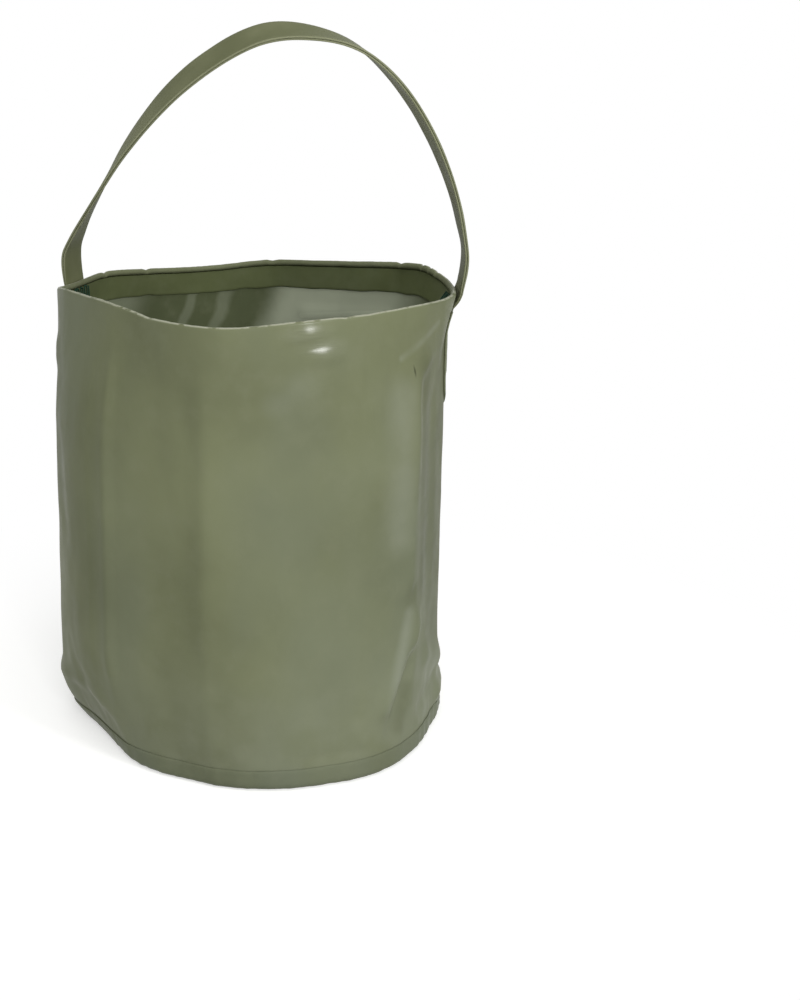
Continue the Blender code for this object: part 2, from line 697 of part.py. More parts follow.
def main():
    clear_scene()
    panel_fabric = make_material("coated_fabric_panel", (0.150, 0.160, 0.085), 0.32)
    base_fabric = make_material("coated_fabric_base", (0.140, 0.152, 0.082), 0.36)
    hem_fabric = make_material("coated_fabric_hem", (0.128, 0.142, 0.066), 0.34)
    patch_fabric = make_material("coated_fabric_patch", (0.150, 0.160, 0.085), 0.32)
    strap_fabric = make_material("strap_fabric", (0.128, 0.136, 0.070), 0.45)
    thread = make_material("sewing_thread", (0.010, 0.050, 0.028), 0.8)
    make_base_disc(base_fabric)
    make_side_panel(panel_fabric)
    make_rim_hem(hem_fabric)
    for side, angle in (("left", LEFT_ANGLE), ("right", RIGHT_ANGLE)):
        make_strap_end("strap_end_" + side, angle, strap_fabric)
        make_patch("handle_patch_" + side, angle, patch_fabric)
        make_stitching("strap_stitching_" + side, angle, thread)
    make_strap(strap_fabric)


main()
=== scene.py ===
from collections import namedtuple
from functools import lru_cache
from math import atan2, copysign, cos, degrees, hypot, inf, pi, radians, sin, sqrt, tau

import bmesh
import bpy
from mathutils import Matrix, Vector, noise


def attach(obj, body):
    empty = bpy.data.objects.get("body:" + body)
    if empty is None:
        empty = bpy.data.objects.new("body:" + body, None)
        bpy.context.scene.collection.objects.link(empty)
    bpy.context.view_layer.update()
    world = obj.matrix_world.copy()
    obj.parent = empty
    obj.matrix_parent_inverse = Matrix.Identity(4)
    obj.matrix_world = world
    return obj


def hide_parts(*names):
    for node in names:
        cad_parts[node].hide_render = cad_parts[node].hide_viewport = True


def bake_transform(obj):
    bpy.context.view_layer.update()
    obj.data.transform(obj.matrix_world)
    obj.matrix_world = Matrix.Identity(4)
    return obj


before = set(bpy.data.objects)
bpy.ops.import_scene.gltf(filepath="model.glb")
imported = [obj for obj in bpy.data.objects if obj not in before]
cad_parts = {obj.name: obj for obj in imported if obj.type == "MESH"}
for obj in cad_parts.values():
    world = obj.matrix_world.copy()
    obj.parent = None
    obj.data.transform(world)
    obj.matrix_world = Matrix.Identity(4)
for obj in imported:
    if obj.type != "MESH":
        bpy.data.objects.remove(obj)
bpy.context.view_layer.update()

# Sizes of the bucket, in metres
BODY_RADIUS = 0.120
MOUTH_HEIGHT = 0.276
FABRIC = 0.0008
GAP = 0.0003
WELD = 0.00002
BASE_CORNER = 0.005
FLANGE_HEIGHT = 0.013
FOOT_EASE = 0.075
FOOT_CURVE = 1.5
MOUTH_EASE = 0.085
FOLD_FADE = 0.010
LAP_WIDTH = 0.014
LAP_ANGLE = 214.0
HEM_DEPTH = 0.025
BAND_DEPTH = 0.019  # what shows of the turned-in hem
BAND_LOOSE = 0.005  # how far up its cut lower edge wavers
BEAD_HEIGHT = 0.0042
BEAD_REACH = 0.0017  # half of how far the rolled top edge reaches into the mouth
BEAD_RISE = 0.0019
NEAR_WELD = 0.030  # how far the cloth is puckered above the foot's weld and round the hem's
NEAR_HEM = 0.014
STRAP_WIDTH = 0.025
STRAP_THICKNESS = 0.0024
STRAP_LAYER_GROOVE = 0.0009
PRESSED_SHARE = 0.5  # of the strap's thickness, where it is welded under a patch
ARCH_RISE = 0.138
AXIS_ABOVE_RIM = 0.016
PATCH_WIDTH = 0.050
PATCH_LENGTH = 0.060
PATCH_CORNER = 0.016
PATCH_BELOW_RIM = 0.011
PATCH_MARGIN = 0.006
CHANNEL_SLOPE = 0.006
PRESSED_EDGE = 0.0022  # middle of the welded margin, from the patch's edge
PRESSED_HALF = 0.0012
LEFT_ANGLE = 163.0
RIGHT_ANGLE = 3.0
THREAD = 0.0008
STITCH_BELOW_RIM = 0.0052
STITCH_HEIGHT = 0.012
STITCHES = 9
STITCH_STEPS = 5

# How finely the fabric is cut
AROUND = 360
PANEL_ROWS = 112
BEAD_ROWS = 12
BAND_ROWS = 12
BASE_RINGS = 8
PATCH_CUTS = (72, 84)
STRAP_STEPS = 12
EASE_PASSES = 16  # of evening out the strap, and how many of them move its middle line too
PLACE_PASSES = 6

# Places worked out from the sizes above
AXIS_HEIGHT = MOUTH_HEIGHT + AXIS_ABOVE_RIM
PATCH_TOP = MOUTH_HEIGHT - PATCH_BELOW_RIM
PATCH_FOOT = PATCH_TOP - PATCH_LENGTH
STRAP_FOOT = PATCH_FOOT + PATCH_CORNER + PATCH_MARGIN
ROOT_FOOT = PATCH_TOP + GAP + STRAP_THICKNESS / 5
HEM_FOOT = MOUTH_HEIGHT - HEM_DEPTH
BAND_FOOT = MOUTH_HEIGHT - BAND_DEPTH
BEAD_FOOT = MOUTH_HEIGHT - BEAD_HEIGHT
BEAD_MIDDLE = MOUTH_HEIGHT - BEAD_RISE
TOP_OF_ROLL = BEAD_MIDDLE + BEAD_RISE * 1.25
FULL_TURN = 360.0
ROLL_TURN = 205.0  # how far round the rolled top edge goes

# The three outlines. Each row starts with an angle, the radius as a share of the body's and how
# straight the stretch up to the next row is.

# Mouth: then its height as a share of the mouth's, and the share of the mouth's ease that it takes
MOUTH_SHARES = (
    (-170, 0.95, 0, 1.01, 1),
    (-155, 0.905, 0.2, 1.014, 1),
    (-135, 0.917, 0.2, 1.016, 1),
    (-115, 0.967, 0.2, 1.001, 1),
    (-98, 1, 0.2, 0.996, 1),
    (-75, 0.96, 0.4, 1.004, 1),
    (-55, 0.95, 0.4, 1.005, 1),
    (-30, 0.971, 0.4, 1.003, 0.9),
    (-17, 0.998, 0.6, 0.997, 0.6),
    (-6, 1.028, 0.1, 0.995, 0.28),
    (3, 1.04, 0.1, 0.996, 0.24),
    (12, 1.046, 0.2, 1.003, 0.29),
    (24, 1.028, 0.3, 1.018, 0.6),
    (38, 1.022, 0.6, 1.011, 1),
    (60, 0.992, 0.6, 0.998, 1),
    (84, 0.967, 0.5, 0.994, 1),
    (105, 0.942, 0.5, 0.983, 1),
    (128, 0.942, 0.6, 0.988, 1),
    (145, 0.958, 0.8, 0.996, 1),
    (150, 0.958, 1, 0.996, 1),
    (176, 0.992, 0.2, 0.996, 1),
)

# Body between them
BODY_SHARES = (
    (-172, 1.009, 0.3),
    (-135, 1.003, 0.9),
    (-102.5, 1.008, 0.2),
    (-47, 1.002, 0.6),
    (-36, 1.006, 0.9),
    (-8, 0.984, 0.4),
    (3, 0.97, 0.3),
    (18, 0.98, 0.3),
    (40, 0.998, 0.4),
    (85, 1, 0.5),
    (128, 1.002, 0.4),
    (160, 1, 0.3),
)

# Foot: then the share of the foot's ease that it takes
FOOT_SHARES = (
    (-172, 0.862, 0.2, 0.42),
    (-160, 0.822, 0.2, 0.7),
    (-148, 0.826, 0.2, 0.9),
    (-134, 0.876, 0.2, 1),
    (-122, 0.911, 0.2, 1),
    (-108, 0.924, 0.2, 1),
    (-98, 0.955, 0, 1),
    (-86, 0.976, 0, 1),
    (-70, 0.992, 0, 1),
    (-52, 1.011, 0, 1),
    (-40, 1, 0.2, 1),
    (-28, 0.982, 0.2, 1),
    (-15, 0.97, 0, 1),
    (-5, 0.99, 0, 1),
    (4, 1.018, 0, 1),
    (60, 0.985, 0, 1),
    (110, 0.985, 0, 1),
    (160, 0.97, 0, 0.8),
    (178, 0.93, 0.2, 0.55),
)

# Folds and dents in the panel: the line that each follows, as angles and shares of the mouth's
# height, its widths to the left and right of that line and its lift, all three as shares of the
# body's radius, and how sharp its crest is
RIGHT_FACET_LEFT_EDGE = (
    (-16, 0.957),
    (-25, 0.926),
    (-38, 0.913),
    (-45.5, 0.884),
    (-47.5, 0.841),
    (-47.5, 0.507),
)
RIGHT_FACET_RIGHT_EDGE = (
    (-14, 0.922),
    (-26, 0.893),
    (-31.5, 0.87),
    (-35, 0.853),
    (-37, 0.804),
    (-39, 0.543),
    (-39, 0.417),
)
FOLD_SHARES = (
    (RIGHT_FACET_LEFT_EDGE, 0.1, 0.067, -0.0067, 0.3),
    (RIGHT_FACET_RIGHT_EDGE, 0.067, 0.15, 0.02, 0.7),
    (((182, 0.928), (184, 0.855)), 0.092, 0.092, 0.0117, 0),
    (((-24, 0.779), (-24, 0.344)), 0.117, 0.117, -0.0083, 0),
    (((-34, 0.304), (-49, 0.145)), 0.067, 0.117, 0.025, 0.5),
    (((-38, 0.239), (-46, 0.087)), 0.083, 0.083, -0.0233, 0.1),
    (((-24, 0.203), (-6, 0.152)), 0.108, 0.083, 0.02, 0.2),
    (((-13, 0.118), (-30, 0.098)), 0.055, 0.07, -0.013, 0.4),
    (((-131, 0.949), (-128, 0.931), (-126, 0.902)), 0.033, 0.033, -0.005, 0.7),
    (((-135, 0.906), (-135, 0.217)), 0.067, 0.067, 0.0083, 0.4),
    (((-102.5, 0.906), (-102.5, 0.326)), 0.167, 0.1, 0.01, 0.5),
    (((-82, 0.964), (-70, 0.971)), 0.058, 0.05, 0.0075, 0),
    (((-80, 0.862), (-74, 0.826)), 0.1, 0.1, 0.0067, 0),
    (((-90, 0.812), (-82, 0.793)), 0.083, 0.083, 0.0058, 0),
    (((-76, 0.072), (-56, 0.069)), 0.033, 0.033, -0.0067, 0.5),
    (((-178, 0.123), (-150, 0.138), (-136, 0.109)), 0.083, 0.05, 0.015, 0.6),
    (((60, 0.616), (84, 0.308)), 0.167, 0.167, -0.0117, 0.1),
    (((140, 0.543), (128, 0.199)), 0.15, 0.15, -0.01, 0.1),
    (((100, 0.851), (112, 0.652)), 0.117, 0.117, -0.0083, 0.2),
    (((20, 0.725), (34, 0.435)), 0.133, 0.1, 0.0117, 0.3),
    (((-168, 0.688), (-160, 0.471)), 0.117, 0.117, -0.0067, 0.1),
)
CREST_CURVE = 1.6  # how quickly a sharp crest falls off beside its line

# Route of the strap's middle line, left to right over the top: distance to the right and back as
# shares of the body's radius, height over the swing axis as a share of the rise, and the strap's
# tilt in degrees, positive where its front edge turns in under the arch
ROUTE_SHARES = (
    (-0.938, 0.246, 0, -18),
    (-0.908, 0.217, 0.072, -12),
    (-0.85, 0.158, 0.174, -5),
    (-0.722, 0.017, 0.362, 2),
    (-0.588, -0.092, 0.543, 9),
    (-0.338, -0.208, 0.787, 22),
    (-0.014, -0.267, 0.97, 24),
    (0.208, -0.275, 1, 20),
    (0.488, -0.258, 0.945, 1),
    (0.683, -0.233, 0.804, -7),
    (0.822, -0.188, 0.638, -8),
    (0.929, -0.138, 0.464, -6),
    (1.007, -0.085, 0.29, -4),
    (1.059, -0.028, 0.116, -1),
    (1.081, 0.015, 0, 3),
)
ROOT_TILTS = (-21, -1)  # the strap's tilt where it leaves the left and the right patch
ROOT_LEANS = (0.12, 0.35)  # how steeply it leaves the panel there

# Finer folds that only the cloth itself has, in the same columns
FINE_FOLD_SHARES = (
    (((72, 0.868), (58, 0.872), (43, 0.876)), 0.055, 0.055, -0.013, 0.2),
    (((153, 0.876), (142, 0.88)), 0.045, 0.045, -0.011, 0.2),
    (((118, 0.88), (125, 0.76)), 0.06, 0.06, -0.007, 0.3),
    (((104, 0.89), (111, 0.77)), 0.05, 0.06, -0.008, 0.4),
    (((-76, 0.852), (-68, 0.858)), 0.03, 0.03, 0.004, 0.1),
    (((-10, 0.072), (5, 0.082)), 0.075, 0.075, 0.027, 0.3),
    (((-43, 0.87), (-41.5, 0.845)), 0.02, 0.012, -0.003, 0.8),
    (((-142, 0.92), (-138, 0.8)), 0.045, 0.03, 0.003, 0.5),
    (((-112, 0.8), (-108, 0.6)), 0.12, 0.12, 0.004, 0),
    (((-95, 0.36), (-60, 0.29)), 0.12, 0.12, 0.004, 0),
    (((-60, 0.12), (-54, 0.05)), 0.04, 0.04, 0.005, 0.4),
    (((-100, 0.1), (-88, 0.052)), 0.05, 0.04, 0.004, 0.3),
    (((-160, 0.23), (-146, 0.08)), 0.06, 0.06, -0.006, 0.3),
    (((-150, 0.19), (-132, 0.06)), 0.05, 0.05, 0.005, 0.4),
    (((170, 0.56), (150, 0.33)), 0.12, 0.12, 0.006, 0.2),
    (((30, 0.33), (52, 0.12)), 0.11, 0.09, 0.007, 0.3),
    (((96, 0.25), (84, 0.06)), 0.09, 0.09, 0.006, 0.2),
)

# Swellings of the panel over the hem: angle, height, half width, half height, lift
RIM_SWELLS = (
    (-69, 0.257, 0.019, 0.0075, 0.0018),
    (-72.5, 0.269, 0.018, 0.006, 0.0014),
    (-66, 0.264, 0.011, 0.0055, 0.0004),
)

# Small kinks of the rolled rim: angle, half width, sink
RIM_KINKS = (
    (147, 0.003, 0.0011),
    (129, 0.0035, 0.0009),
    (83, 0.004, 0.0007),
    (37, 0.0035, 0.0009),
    (26, 0.0016, 0.001),
    (22, 0.0016, 0.0009),
    (18, 0.0018, 0.0008),
    (-62, 0.006, 0.0004),
    (-120, 0.006, 0.0004),
)

# Loose ends of thread: place across the strap as a share, length, and how far it bows
LOOSE_ENDS = ((-0.42, 0.013, 0.0035), (-0.30, 0.009, -0.0028), (0.36, 0.007, 0.002))

# Marks on the unrolled cloth. A line has a start and an end, each an angle and a height, and a
# half width. A spot has an angle, a height, a half width and a half height. In the tables of
# lines and spots, a strength follows.
# Painted sheen and highlights on the outside, along its folds and in two spots on its front
SHEEN_LINES = (
    ((-43, 0.225), (-44.5, 0.145), 0.019, 0.24),
    ((-21, 0.263), (-42, 0.248), 0.0035, 0.25),
    ((-22.5, 0.042), (-23, 0.018), 0.006, 0.30),
    ((-39, 0.094), (-47.5, 0.040), 0.0075, 0.34),
)
SHEEN_SPOTS = ((-75.5, 0.2402, 0.016, 0.013, 0.18), (-83.2, 0.2314, 0.014, 0.011, 0.14))
# Painted shade on the outside's darker right side
SHADE_LINES = (
    ((-30, 0.235), (-30, 0.110), 0.020, 0.62),
    ((-12, 0.235), (-12, 0.080), 0.040, 0.60),
    ((-38.5, 0.046), (-42.5, 0.024), 0.009, 0.36),
)
SHADE_SPOTS = ((-38.5, 0.106, 0.010, 0.014, 0.30),)
SHINY_LINES = (((-41, 0.235), (-43, 0.150), 0.012, 0.15),)
# A painted highlight inside, along the lower edge of the turned-in hem: a line and its half width
HEM_EDGE_HIGHLIGHT = ((73, 0.2375), (44, 0.2425), 0.0022)
CRINKLES = ((-74.5, 0.2705, 0.024, 0.0085), (-69.5, 0.2605, 0.022, 0.0075))
SCRATCH = (-37.6, 0.2395, 0.0011, 0.0048)

# Colours of the cloth
PANEL_COLOUR = (0.168, 0.183, 0.103)
PANEL_WORN = (0.205, 0.218, 0.140)
INSIDE_COLOUR = (0.100, 0.116, 0.060)
BASE_COLOURS = ((0.162, 0.178, 0.112), (0.200, 0.212, 0.145))
HEM_COLOURS = ((0.112, 0.130, 0.058), (0.170, 0.186, 0.108))
STRAP_COLOURS = ((0.150, 0.162, 0.083), (0.188, 0.200, 0.110))
STRAP_WORN = (0.290, 0.300, 0.200)
THREAD_COLOURS = ((0.004, 0.030, 0.016), (0.014, 0.080, 0.044))
# Pale patches on the inside: partly a pale film, partly painted sheen
PALE_BLOOM_AND_SHEEN = (0.440, 0.475, 0.355)
# Painted sheen on the outside
PALE_SHEEN = (0.310, 0.330, 0.270)
# Pale line along the rolled top edge: partly worn, partly a painted highlight
WORN_EDGE_AND_HIGHLIGHT = (0.420, 0.430, 0.330)
MATT = {"IOR": 1.33, "Metallic": 0.0, "Specular_IOR_Level": 0.05}

# The camera, as fitted to the photograph, the floor and the light
CAMERA_PLACE = (0.0044, -1.0202, 0.4604)
CAMERA_DOWN = 14.042  # degrees
CAMERA_LENS = 61.2  # millimetres, on a sensor of 36
CAMERA_SHIFT = (0.1413, -0.100)
FLOOR_RADIUS = 6.0
FLOOR_COLOUR = (0.78, 0.78, 0.77)
FLOOR_LIFT = 0.50
FLOOR_FADE = (0.16, 0.42)  # where it fades to plain white, from the middle
WHITE = (1.0, 1.0, 1.0)
WORLD_LEVELS = (0.36, 0.48, 0.25)  # from the front, from behind, and in reflections
SOFTBOXES = (  # azimuth and elevation in degrees, distance, width, watts
    ("key_front", -82, 28, 2, 0.5, 10.4),
    ("highlight_right", -48, 23, 1.5, 0.3, 6.8),
    ("left_fill", -165, 24, 1.8, 0.9, 2.2),
    ("overhead", -90, 66, 1.8, 0.9, 6.4),
)


def smooth(share):
    """An even rise from 0 to 1, level at both ends."""
    share = min(max(share, 0.0), 1.0)
    return share * share * (3.0 - 2.0 * share)


def turn_between(start, end):
    """The signed turn in degrees from one angle to another, the short way."""
    return (end - start + FULL_TURN / 2) % FULL_TURN - FULL_TURN / 2


def arc_between(start, end):
    """The signed distance along the panel from one angle to another."""
    return radians(turn_between(start, end)) * BODY_RADIUS


def round_middle(radius, turn, height):
    """A point by its distance and turn round the bucket's middle line."""
    return Vector((radius * cos(turn), radius * sin(turn), height))


def from_middle(point):
    """The distance and turn of a point round the bucket's middle line."""
    return hypot(point.x, point.y), atan2(point.y, point.x)


def random_at(x, y, z):
    """Smooth noise, from -1 to 1."""
    return noise.noise(Vector((x, y, z)))


def mound(away):
    """1 in the middle, falling softly to 0 at a distance of 1."""
    return (1 - away**2) ** 2 if away < 1 else 0.0


def smooth_curve(t, start, end, leave, arrive):
    """A curve from start to end that has the two slopes given there."""
    square, cube = t**2, t**3
    return (
        start * (2 * cube - 3 * square + 1)
        + leave * (cube - 2 * square + t)
        + end * (3 * square - 2 * cube)
        + arrive * (cube - square)
    )


def find_stretch(table, angle):
    """The number of the outline's stretch that an angle is in, and how far along it lies."""
    for number, point in enumerate(table):
        width = (table[(number + 1) % len(table)][0] - point[0]) % FULL_TURN
        ahead = (angle - point[0]) % FULL_TURN
        if ahead < width:
            return number, ahead / width
    return 0, 0.0


def curve_value(table, column, number, along):
    """A value of the outline, on a smooth curve through its points."""
    places = [(number + step) % len(table) for step in (-1, 0, 1, 2)]
    before, start, end, after = (table[place][column] for place in places)
    turns = [(table[places[i + 1]][0] - table[places[i]][0]) % FULL_TURN for i in range(3)]
    slopes = [(start - before) / turns[0], (end - start) / turns[1], (after - end) / turns[2]]
    leave = (slopes[0] * turns[1] + slopes[1] * turns[0]) / (turns[0] + turns[1]) * turns[1]
    arrive = (slopes[1] * turns[2] + slopes[2] * turns[1]) / (turns[1] + turns[2]) * turns[1]
    return smooth_curve(along, start, end, leave, arrive)


def outline_values(table, angle):
    """Radius share of an outline at an angle, followed by its further values there."""
    number, along = find_stretch(table, angle)
    first, second = table[number], table[(number + 1) % len(table)]
    turn = radians((second[0] - first[0]) % FULL_TURN)
    spread = first[1] * sin(turn * along) + second[1] * sin(turn * (1 - along))
    chord = first[1] * second[1] * sin(turn) / spread
    straight = first[2]
    radius = chord * straight + curve_value(table, 1, number, along) * (1 - straight)
    further = (curve_value(table, column, number, along) for column in range(3, len(first)))
    return [radius, *further]


Outlines = namedtuple("Outlines", "mouth mouth_rise mouth_ease body foot foot_ease")


@lru_cache(maxsize=None)
def outlines(angle):
    """The values of the three outlines at an angle."""
    tables = (MOUTH_SHARES, BODY_SHARES, FOOT_SHARES)
    return Outlines(*(value for table in tables for value in outline_values(table, angle)))


def fold_lift(angle, height):
    """How far the panel's folds push it out at a place."""
    lift = 0.0
    for line, left_share, right_share, lift_share, sharpness in FOLD_SHARES + FINE_FOLD_SHARES:
        reach = max(left_share, right_share) * BODY_RADIUS
        heights = [point[1] * MOUTH_HEIGHT for point in line]
        if not min(heights) - reach < height < max(heights) + reach:
            continue
        nearest = inf
        for start, end in zip(line, line[1:]):
            run = Vector((arc_between(start[0], end[0]), (end[1] - start[1]) * MOUTH_HEIGHT))
            place = Vector((arc_between(start[0], angle), height - start[1] * MOUTH_HEIGHT))
            along = min(max(place.dot(run) / run.length_squared, 0.0), 1.0)
            distance = (place - run * along).length
            if distance < nearest:
                nearest = distance
                on_left = run.x * place.y > run.y * place.x
        away = nearest / BODY_RADIUS / (left_share if on_left else right_share)
        if away < 1:
            soft, sharp = mound(away), (1 - away) ** CREST_CURVE
            lift += lift_share * BODY_RADIUS * (soft * (1 - sharpness) + sharp * sharpness)
    return lift * smooth((HEM_FOOT - height) / FOLD_FADE)


def cloth_unrest(angle, height):
    """The slight unevenness of stiff coated fabric, longer upright than around."""
    turn = radians(angle)
    side, front = cos(turn), sin(turn)
    broad = random_at(side * 3.1, front * 3.1, height * 9)
    middle = random_at(side * 8 + 7, front * 8, height * 34)
    fine = random_at(side * 22, front * 22 + 5, height * 150)
    near_weld = 1 - smooth((height - FLANGE_HEIGHT) / NEAR_WELD)
    pucker = random_at(side * 30, front * 30, height * 20 + 3)
    near_hem = 1 - smooth(abs(height - HEM_FOOT) / NEAR_HEM)
    return 0.0009 * broad + 0.00040 * middle + 0.00008 * fine + pucker * (
        0.0006 * near_weld + 0.00022 * near_hem
    )


def lap_step(angle, height):
    """The outer edge of the lap seam, which stands a layer proud and runs out behind it."""
    behind = arc_between(angle, LAP_ANGLE) + LAP_WIDTH / 2
    if not 0 < behind < 2 * LAP_WIDTH:
        return 0.0
    return FABRIC * 0.6 * (1 - behind / (2 * LAP_WIDTH)) * smooth((HEM_FOOT - height) / FOLD_FADE)


def panel_radius(angle, height):
    """Radius of the side panel's outside at an angle and height."""
    here = outlines(round(angle, 3))
    low = max(1 - height / (FOOT_EASE * here.foot_ease), 0.0) ** FOOT_CURVE
    high = smooth(1 - (MOUTH_HEIGHT - height) / (MOUTH_EASE * here.mouth_ease))
    share = 1 + (here.foot - 1) * low + (here.mouth - 1) * high
    share += (here.body - 1) * (1 - low) * (1 - high)
    radius = BODY_RADIUS * share + fold_lift(angle, height)
    return radius + cloth_unrest(angle, height) + lap_step(angle, height)


def drape(point):
    """Moves a point from the plain cylinder to the bucket's real shape."""
    radius, turn = from_middle(point)
    angle = degrees(turn)
    shift = panel_radius(angle, min(point.z, MOUTH_HEIGHT)) - BODY_RADIUS
    radius += shift * min(radius / BODY_RADIUS, 1.0)
    rise = (outlines(round(angle, 3)).mouth_rise - 1) * MOUTH_HEIGHT
    height = point.z + rise * (point.z / MOUTH_HEIGHT) ** 4
    return round_middle(radius, radians(angle), height)


def on_panel(angle, across, height, offset):
    """A draped point beside an angle, by its distance along the panel and off its outside."""
    turn = radians(angle) + across / BODY_RADIUS
    return drape(round_middle(BODY_RADIUS + offset, turn, height))


def mark_cloth(shape, place_of):
    """Gives each corner its place on the flat cloth, in metres, as a UV map."""
    layer = shape.loops.layers.uv.new("cloth")
    for face in shape.faces:
        flat = [place_of(loop.vert) for loop in face.loops]
        for place, loop in zip(flat, face.loops):
            turns = round((flat[0][0] - place[0]) / (tau * BODY_RADIUS))
            loop[layer].uv = place[0] + turns * tau * BODY_RADIUS, place[1]


def on_roll(point):
    """Place of a point of the plain cylinder on the unrolled cloth."""
    turn = from_middle(point.co)[1] - radians(LAP_ANGLE)
    return turn % tau * BODY_RADIUS, point.co.z


def on_rolled_top(point):
    """The same for the panel, whose cloth goes on over its rolled top edge and down inside."""
    across, height = on_roll(point)
    inwards = BODY_RADIUS - from_middle(point.co)[0]
    if inwards > FABRIC / 10:
        turn = atan2(height - BEAD_MIDDLE, BEAD_REACH - inwards) % tau
        height = BEAD_MIDDLE + BEAD_RISE * turn
    return across, height


def on_disc(point):
    """Place of a point of the base on its flat disc, with the turned-up edge laid out."""
    return point.co.x, point.co.y + point.co.z


def finish_mesh(shape, name, sharp_angle):
    mesh = bpy.data.meshes.new(name)
    shape.to_mesh(mesh)
    shape.free()
    mesh.shade_smooth()
    mesh.set_sharp_from_angle(angle=radians(sharp_angle))
    laid = mesh.attributes.new("laid", "FLOAT_VECTOR", "POINT")
    for number, point in enumerate(mesh.vertices):
        laid.data[number].vector = point.co
    return mesh


def add_object(name, data):
    item = bpy.data.objects.new(name, data)
    bpy.context.scene.collection.objects.link(item)
    return item


def add_piece(name, mesh, *materials):
    for material in materials:
        mesh.materials.append(material)
    return add_object(name, mesh)


def add_wall(piece, thickness, offset):
    wall = piece.modifiers.new("wall", "SOLIDIFY")
    wall.thickness = thickness
    wall.offset = offset
    wall.use_even_offset = True
    return wall


def spin_profile(profile, closed, flat_place):
    """Spins radii and heights round the bucket's middle, from the lap seam on."""
    shape = bmesh.new()
    start = radians(LAP_ANGLE)
    points = [shape.verts.new(round_middle(radius, start, height)) for radius, height in profile]
    edges = [shape.edges.new(pair) for pair in zip(points, points[1:])]
    if closed:
        edges.append(shape.edges.new((points[-1], points[0])))
    axis = {"cent": (0, 0, 0), "axis": (0, 0, 1)}
    bmesh.ops.spin(shape, geom=points + edges, angle=tau, steps=AROUND, use_merge=True, **axis)
    bmesh.ops.remove_doubles(shape, verts=shape.verts, dist=WELD)
    bmesh.ops.recalc_face_normals(shape, faces=shape.faces)
    mark_cloth(shape, flat_place)
    return shape


def face_outwards(shape):
    """Turns an open sheet so that its faces point away from the bucket's middle."""
    shape.normal_update()
    if sum(face.normal.xy.dot(face.calc_center_median().xy) for face in shape.faces) < 0:
        bmesh.ops.reverse_faces(shape, faces=shape.faces)


def rim_kink(angle):
    """How far the rolled rim is sunk at an angle."""
    return sum(
        depth * mound(abs(arc_between(middle, angle)) / width) for middle, width, depth in RIM_KINKS
    )


def rim_swell(point):
    """Pushes a draped point of the panel out where the cloth stands off the hem."""
    angle = degrees(from_middle(point)[1])
    push = sum(
        lift * mound(hypot(arc_between(middle, angle) / wide, (point.z - height) / high))
        for middle, height, wide, high, lift in RIM_SWELLS
    )
    return point + Vector((point.x, point.y, 0)).normalized() * push


def crumple_edge(point):
    """Moves a point of the rolled top edge, on the plain cylinder, as the stiff fold wanders."""
    radius, turn = from_middle(point)
    side, front = cos(turn), sin(turn)
    on_edge = smooth((point.z - BEAD_FOOT) / BEAD_HEIGHT * 2)
    inward = smooth((BODY_RADIUS - radius) / BEAD_REACH / 2)
    wave = random_at(side * 16, front * 16, 2)
    crumple = random_at(side * 55, front * 55, 8)
    nick = random_at(side * 140, front * 140, 5)
    radius += on_edge * inward * (0.0006 * wave + 0.0004 * crumple)
    sink = rim_kink(degrees(turn)) + 0.0003 * abs(crumple) * inward + 0.00012 * nick
    return Vector((radius * side, radius * front, point.z - on_edge * sink))


def make_side_panel(outside, inside):
    """The rolled panel: one sheet, draped, rolled over along the top and given its thickness."""
    low = BASE_CORNER
    rows = [low + (BEAD_MIDDLE - low) * step / PANEL_ROWS for step in range(PANEL_ROWS + 1)]
    profile = [(BODY_RADIUS, height) for height in rows]
    for step in range(1, BEAD_ROWS + 1):
        turn = radians(ROLL_TURN * step / BEAD_ROWS)
        inwards = BEAD_REACH * (1 - cos(turn))
        profile.append((BODY_RADIUS - inwards, BEAD_MIDDLE + BEAD_RISE * sin(turn)))
    profile.append((BODY_RADIUS - 2 * FABRIC - GAP, BEAD_FOOT - FABRIC / 4))
    shape = spin_profile(profile, False, on_rolled_top)
    face_outwards(shape)
    wall = [point for point in shape.verts if BASE_CORNER * 1.1 < point.co.z < BEAD_FOOT]
    wall = [point for point in wall if from_middle(point.co)[0] > BODY_RADIUS - WELD]
    for point in shape.verts:
        point.co = drape(crumple_edge(point.co))
    every_way = {"use_axis_x": True, "use_axis_y": True, "use_axis_z": True}
    for _ in range(2):
        bmesh.ops.smooth_vert(shape, verts=wall, factor=0.5, **every_way)
    for point in shape.verts:
        point.co = rim_swell(point.co)
    mesh = finish_mesh(shape, "bucket_side", 70)
    piece = add_piece("bucket_side", mesh, outside, inside)
    add_wall(piece, FABRIC, -1.0).material_offset = 1
    return piece


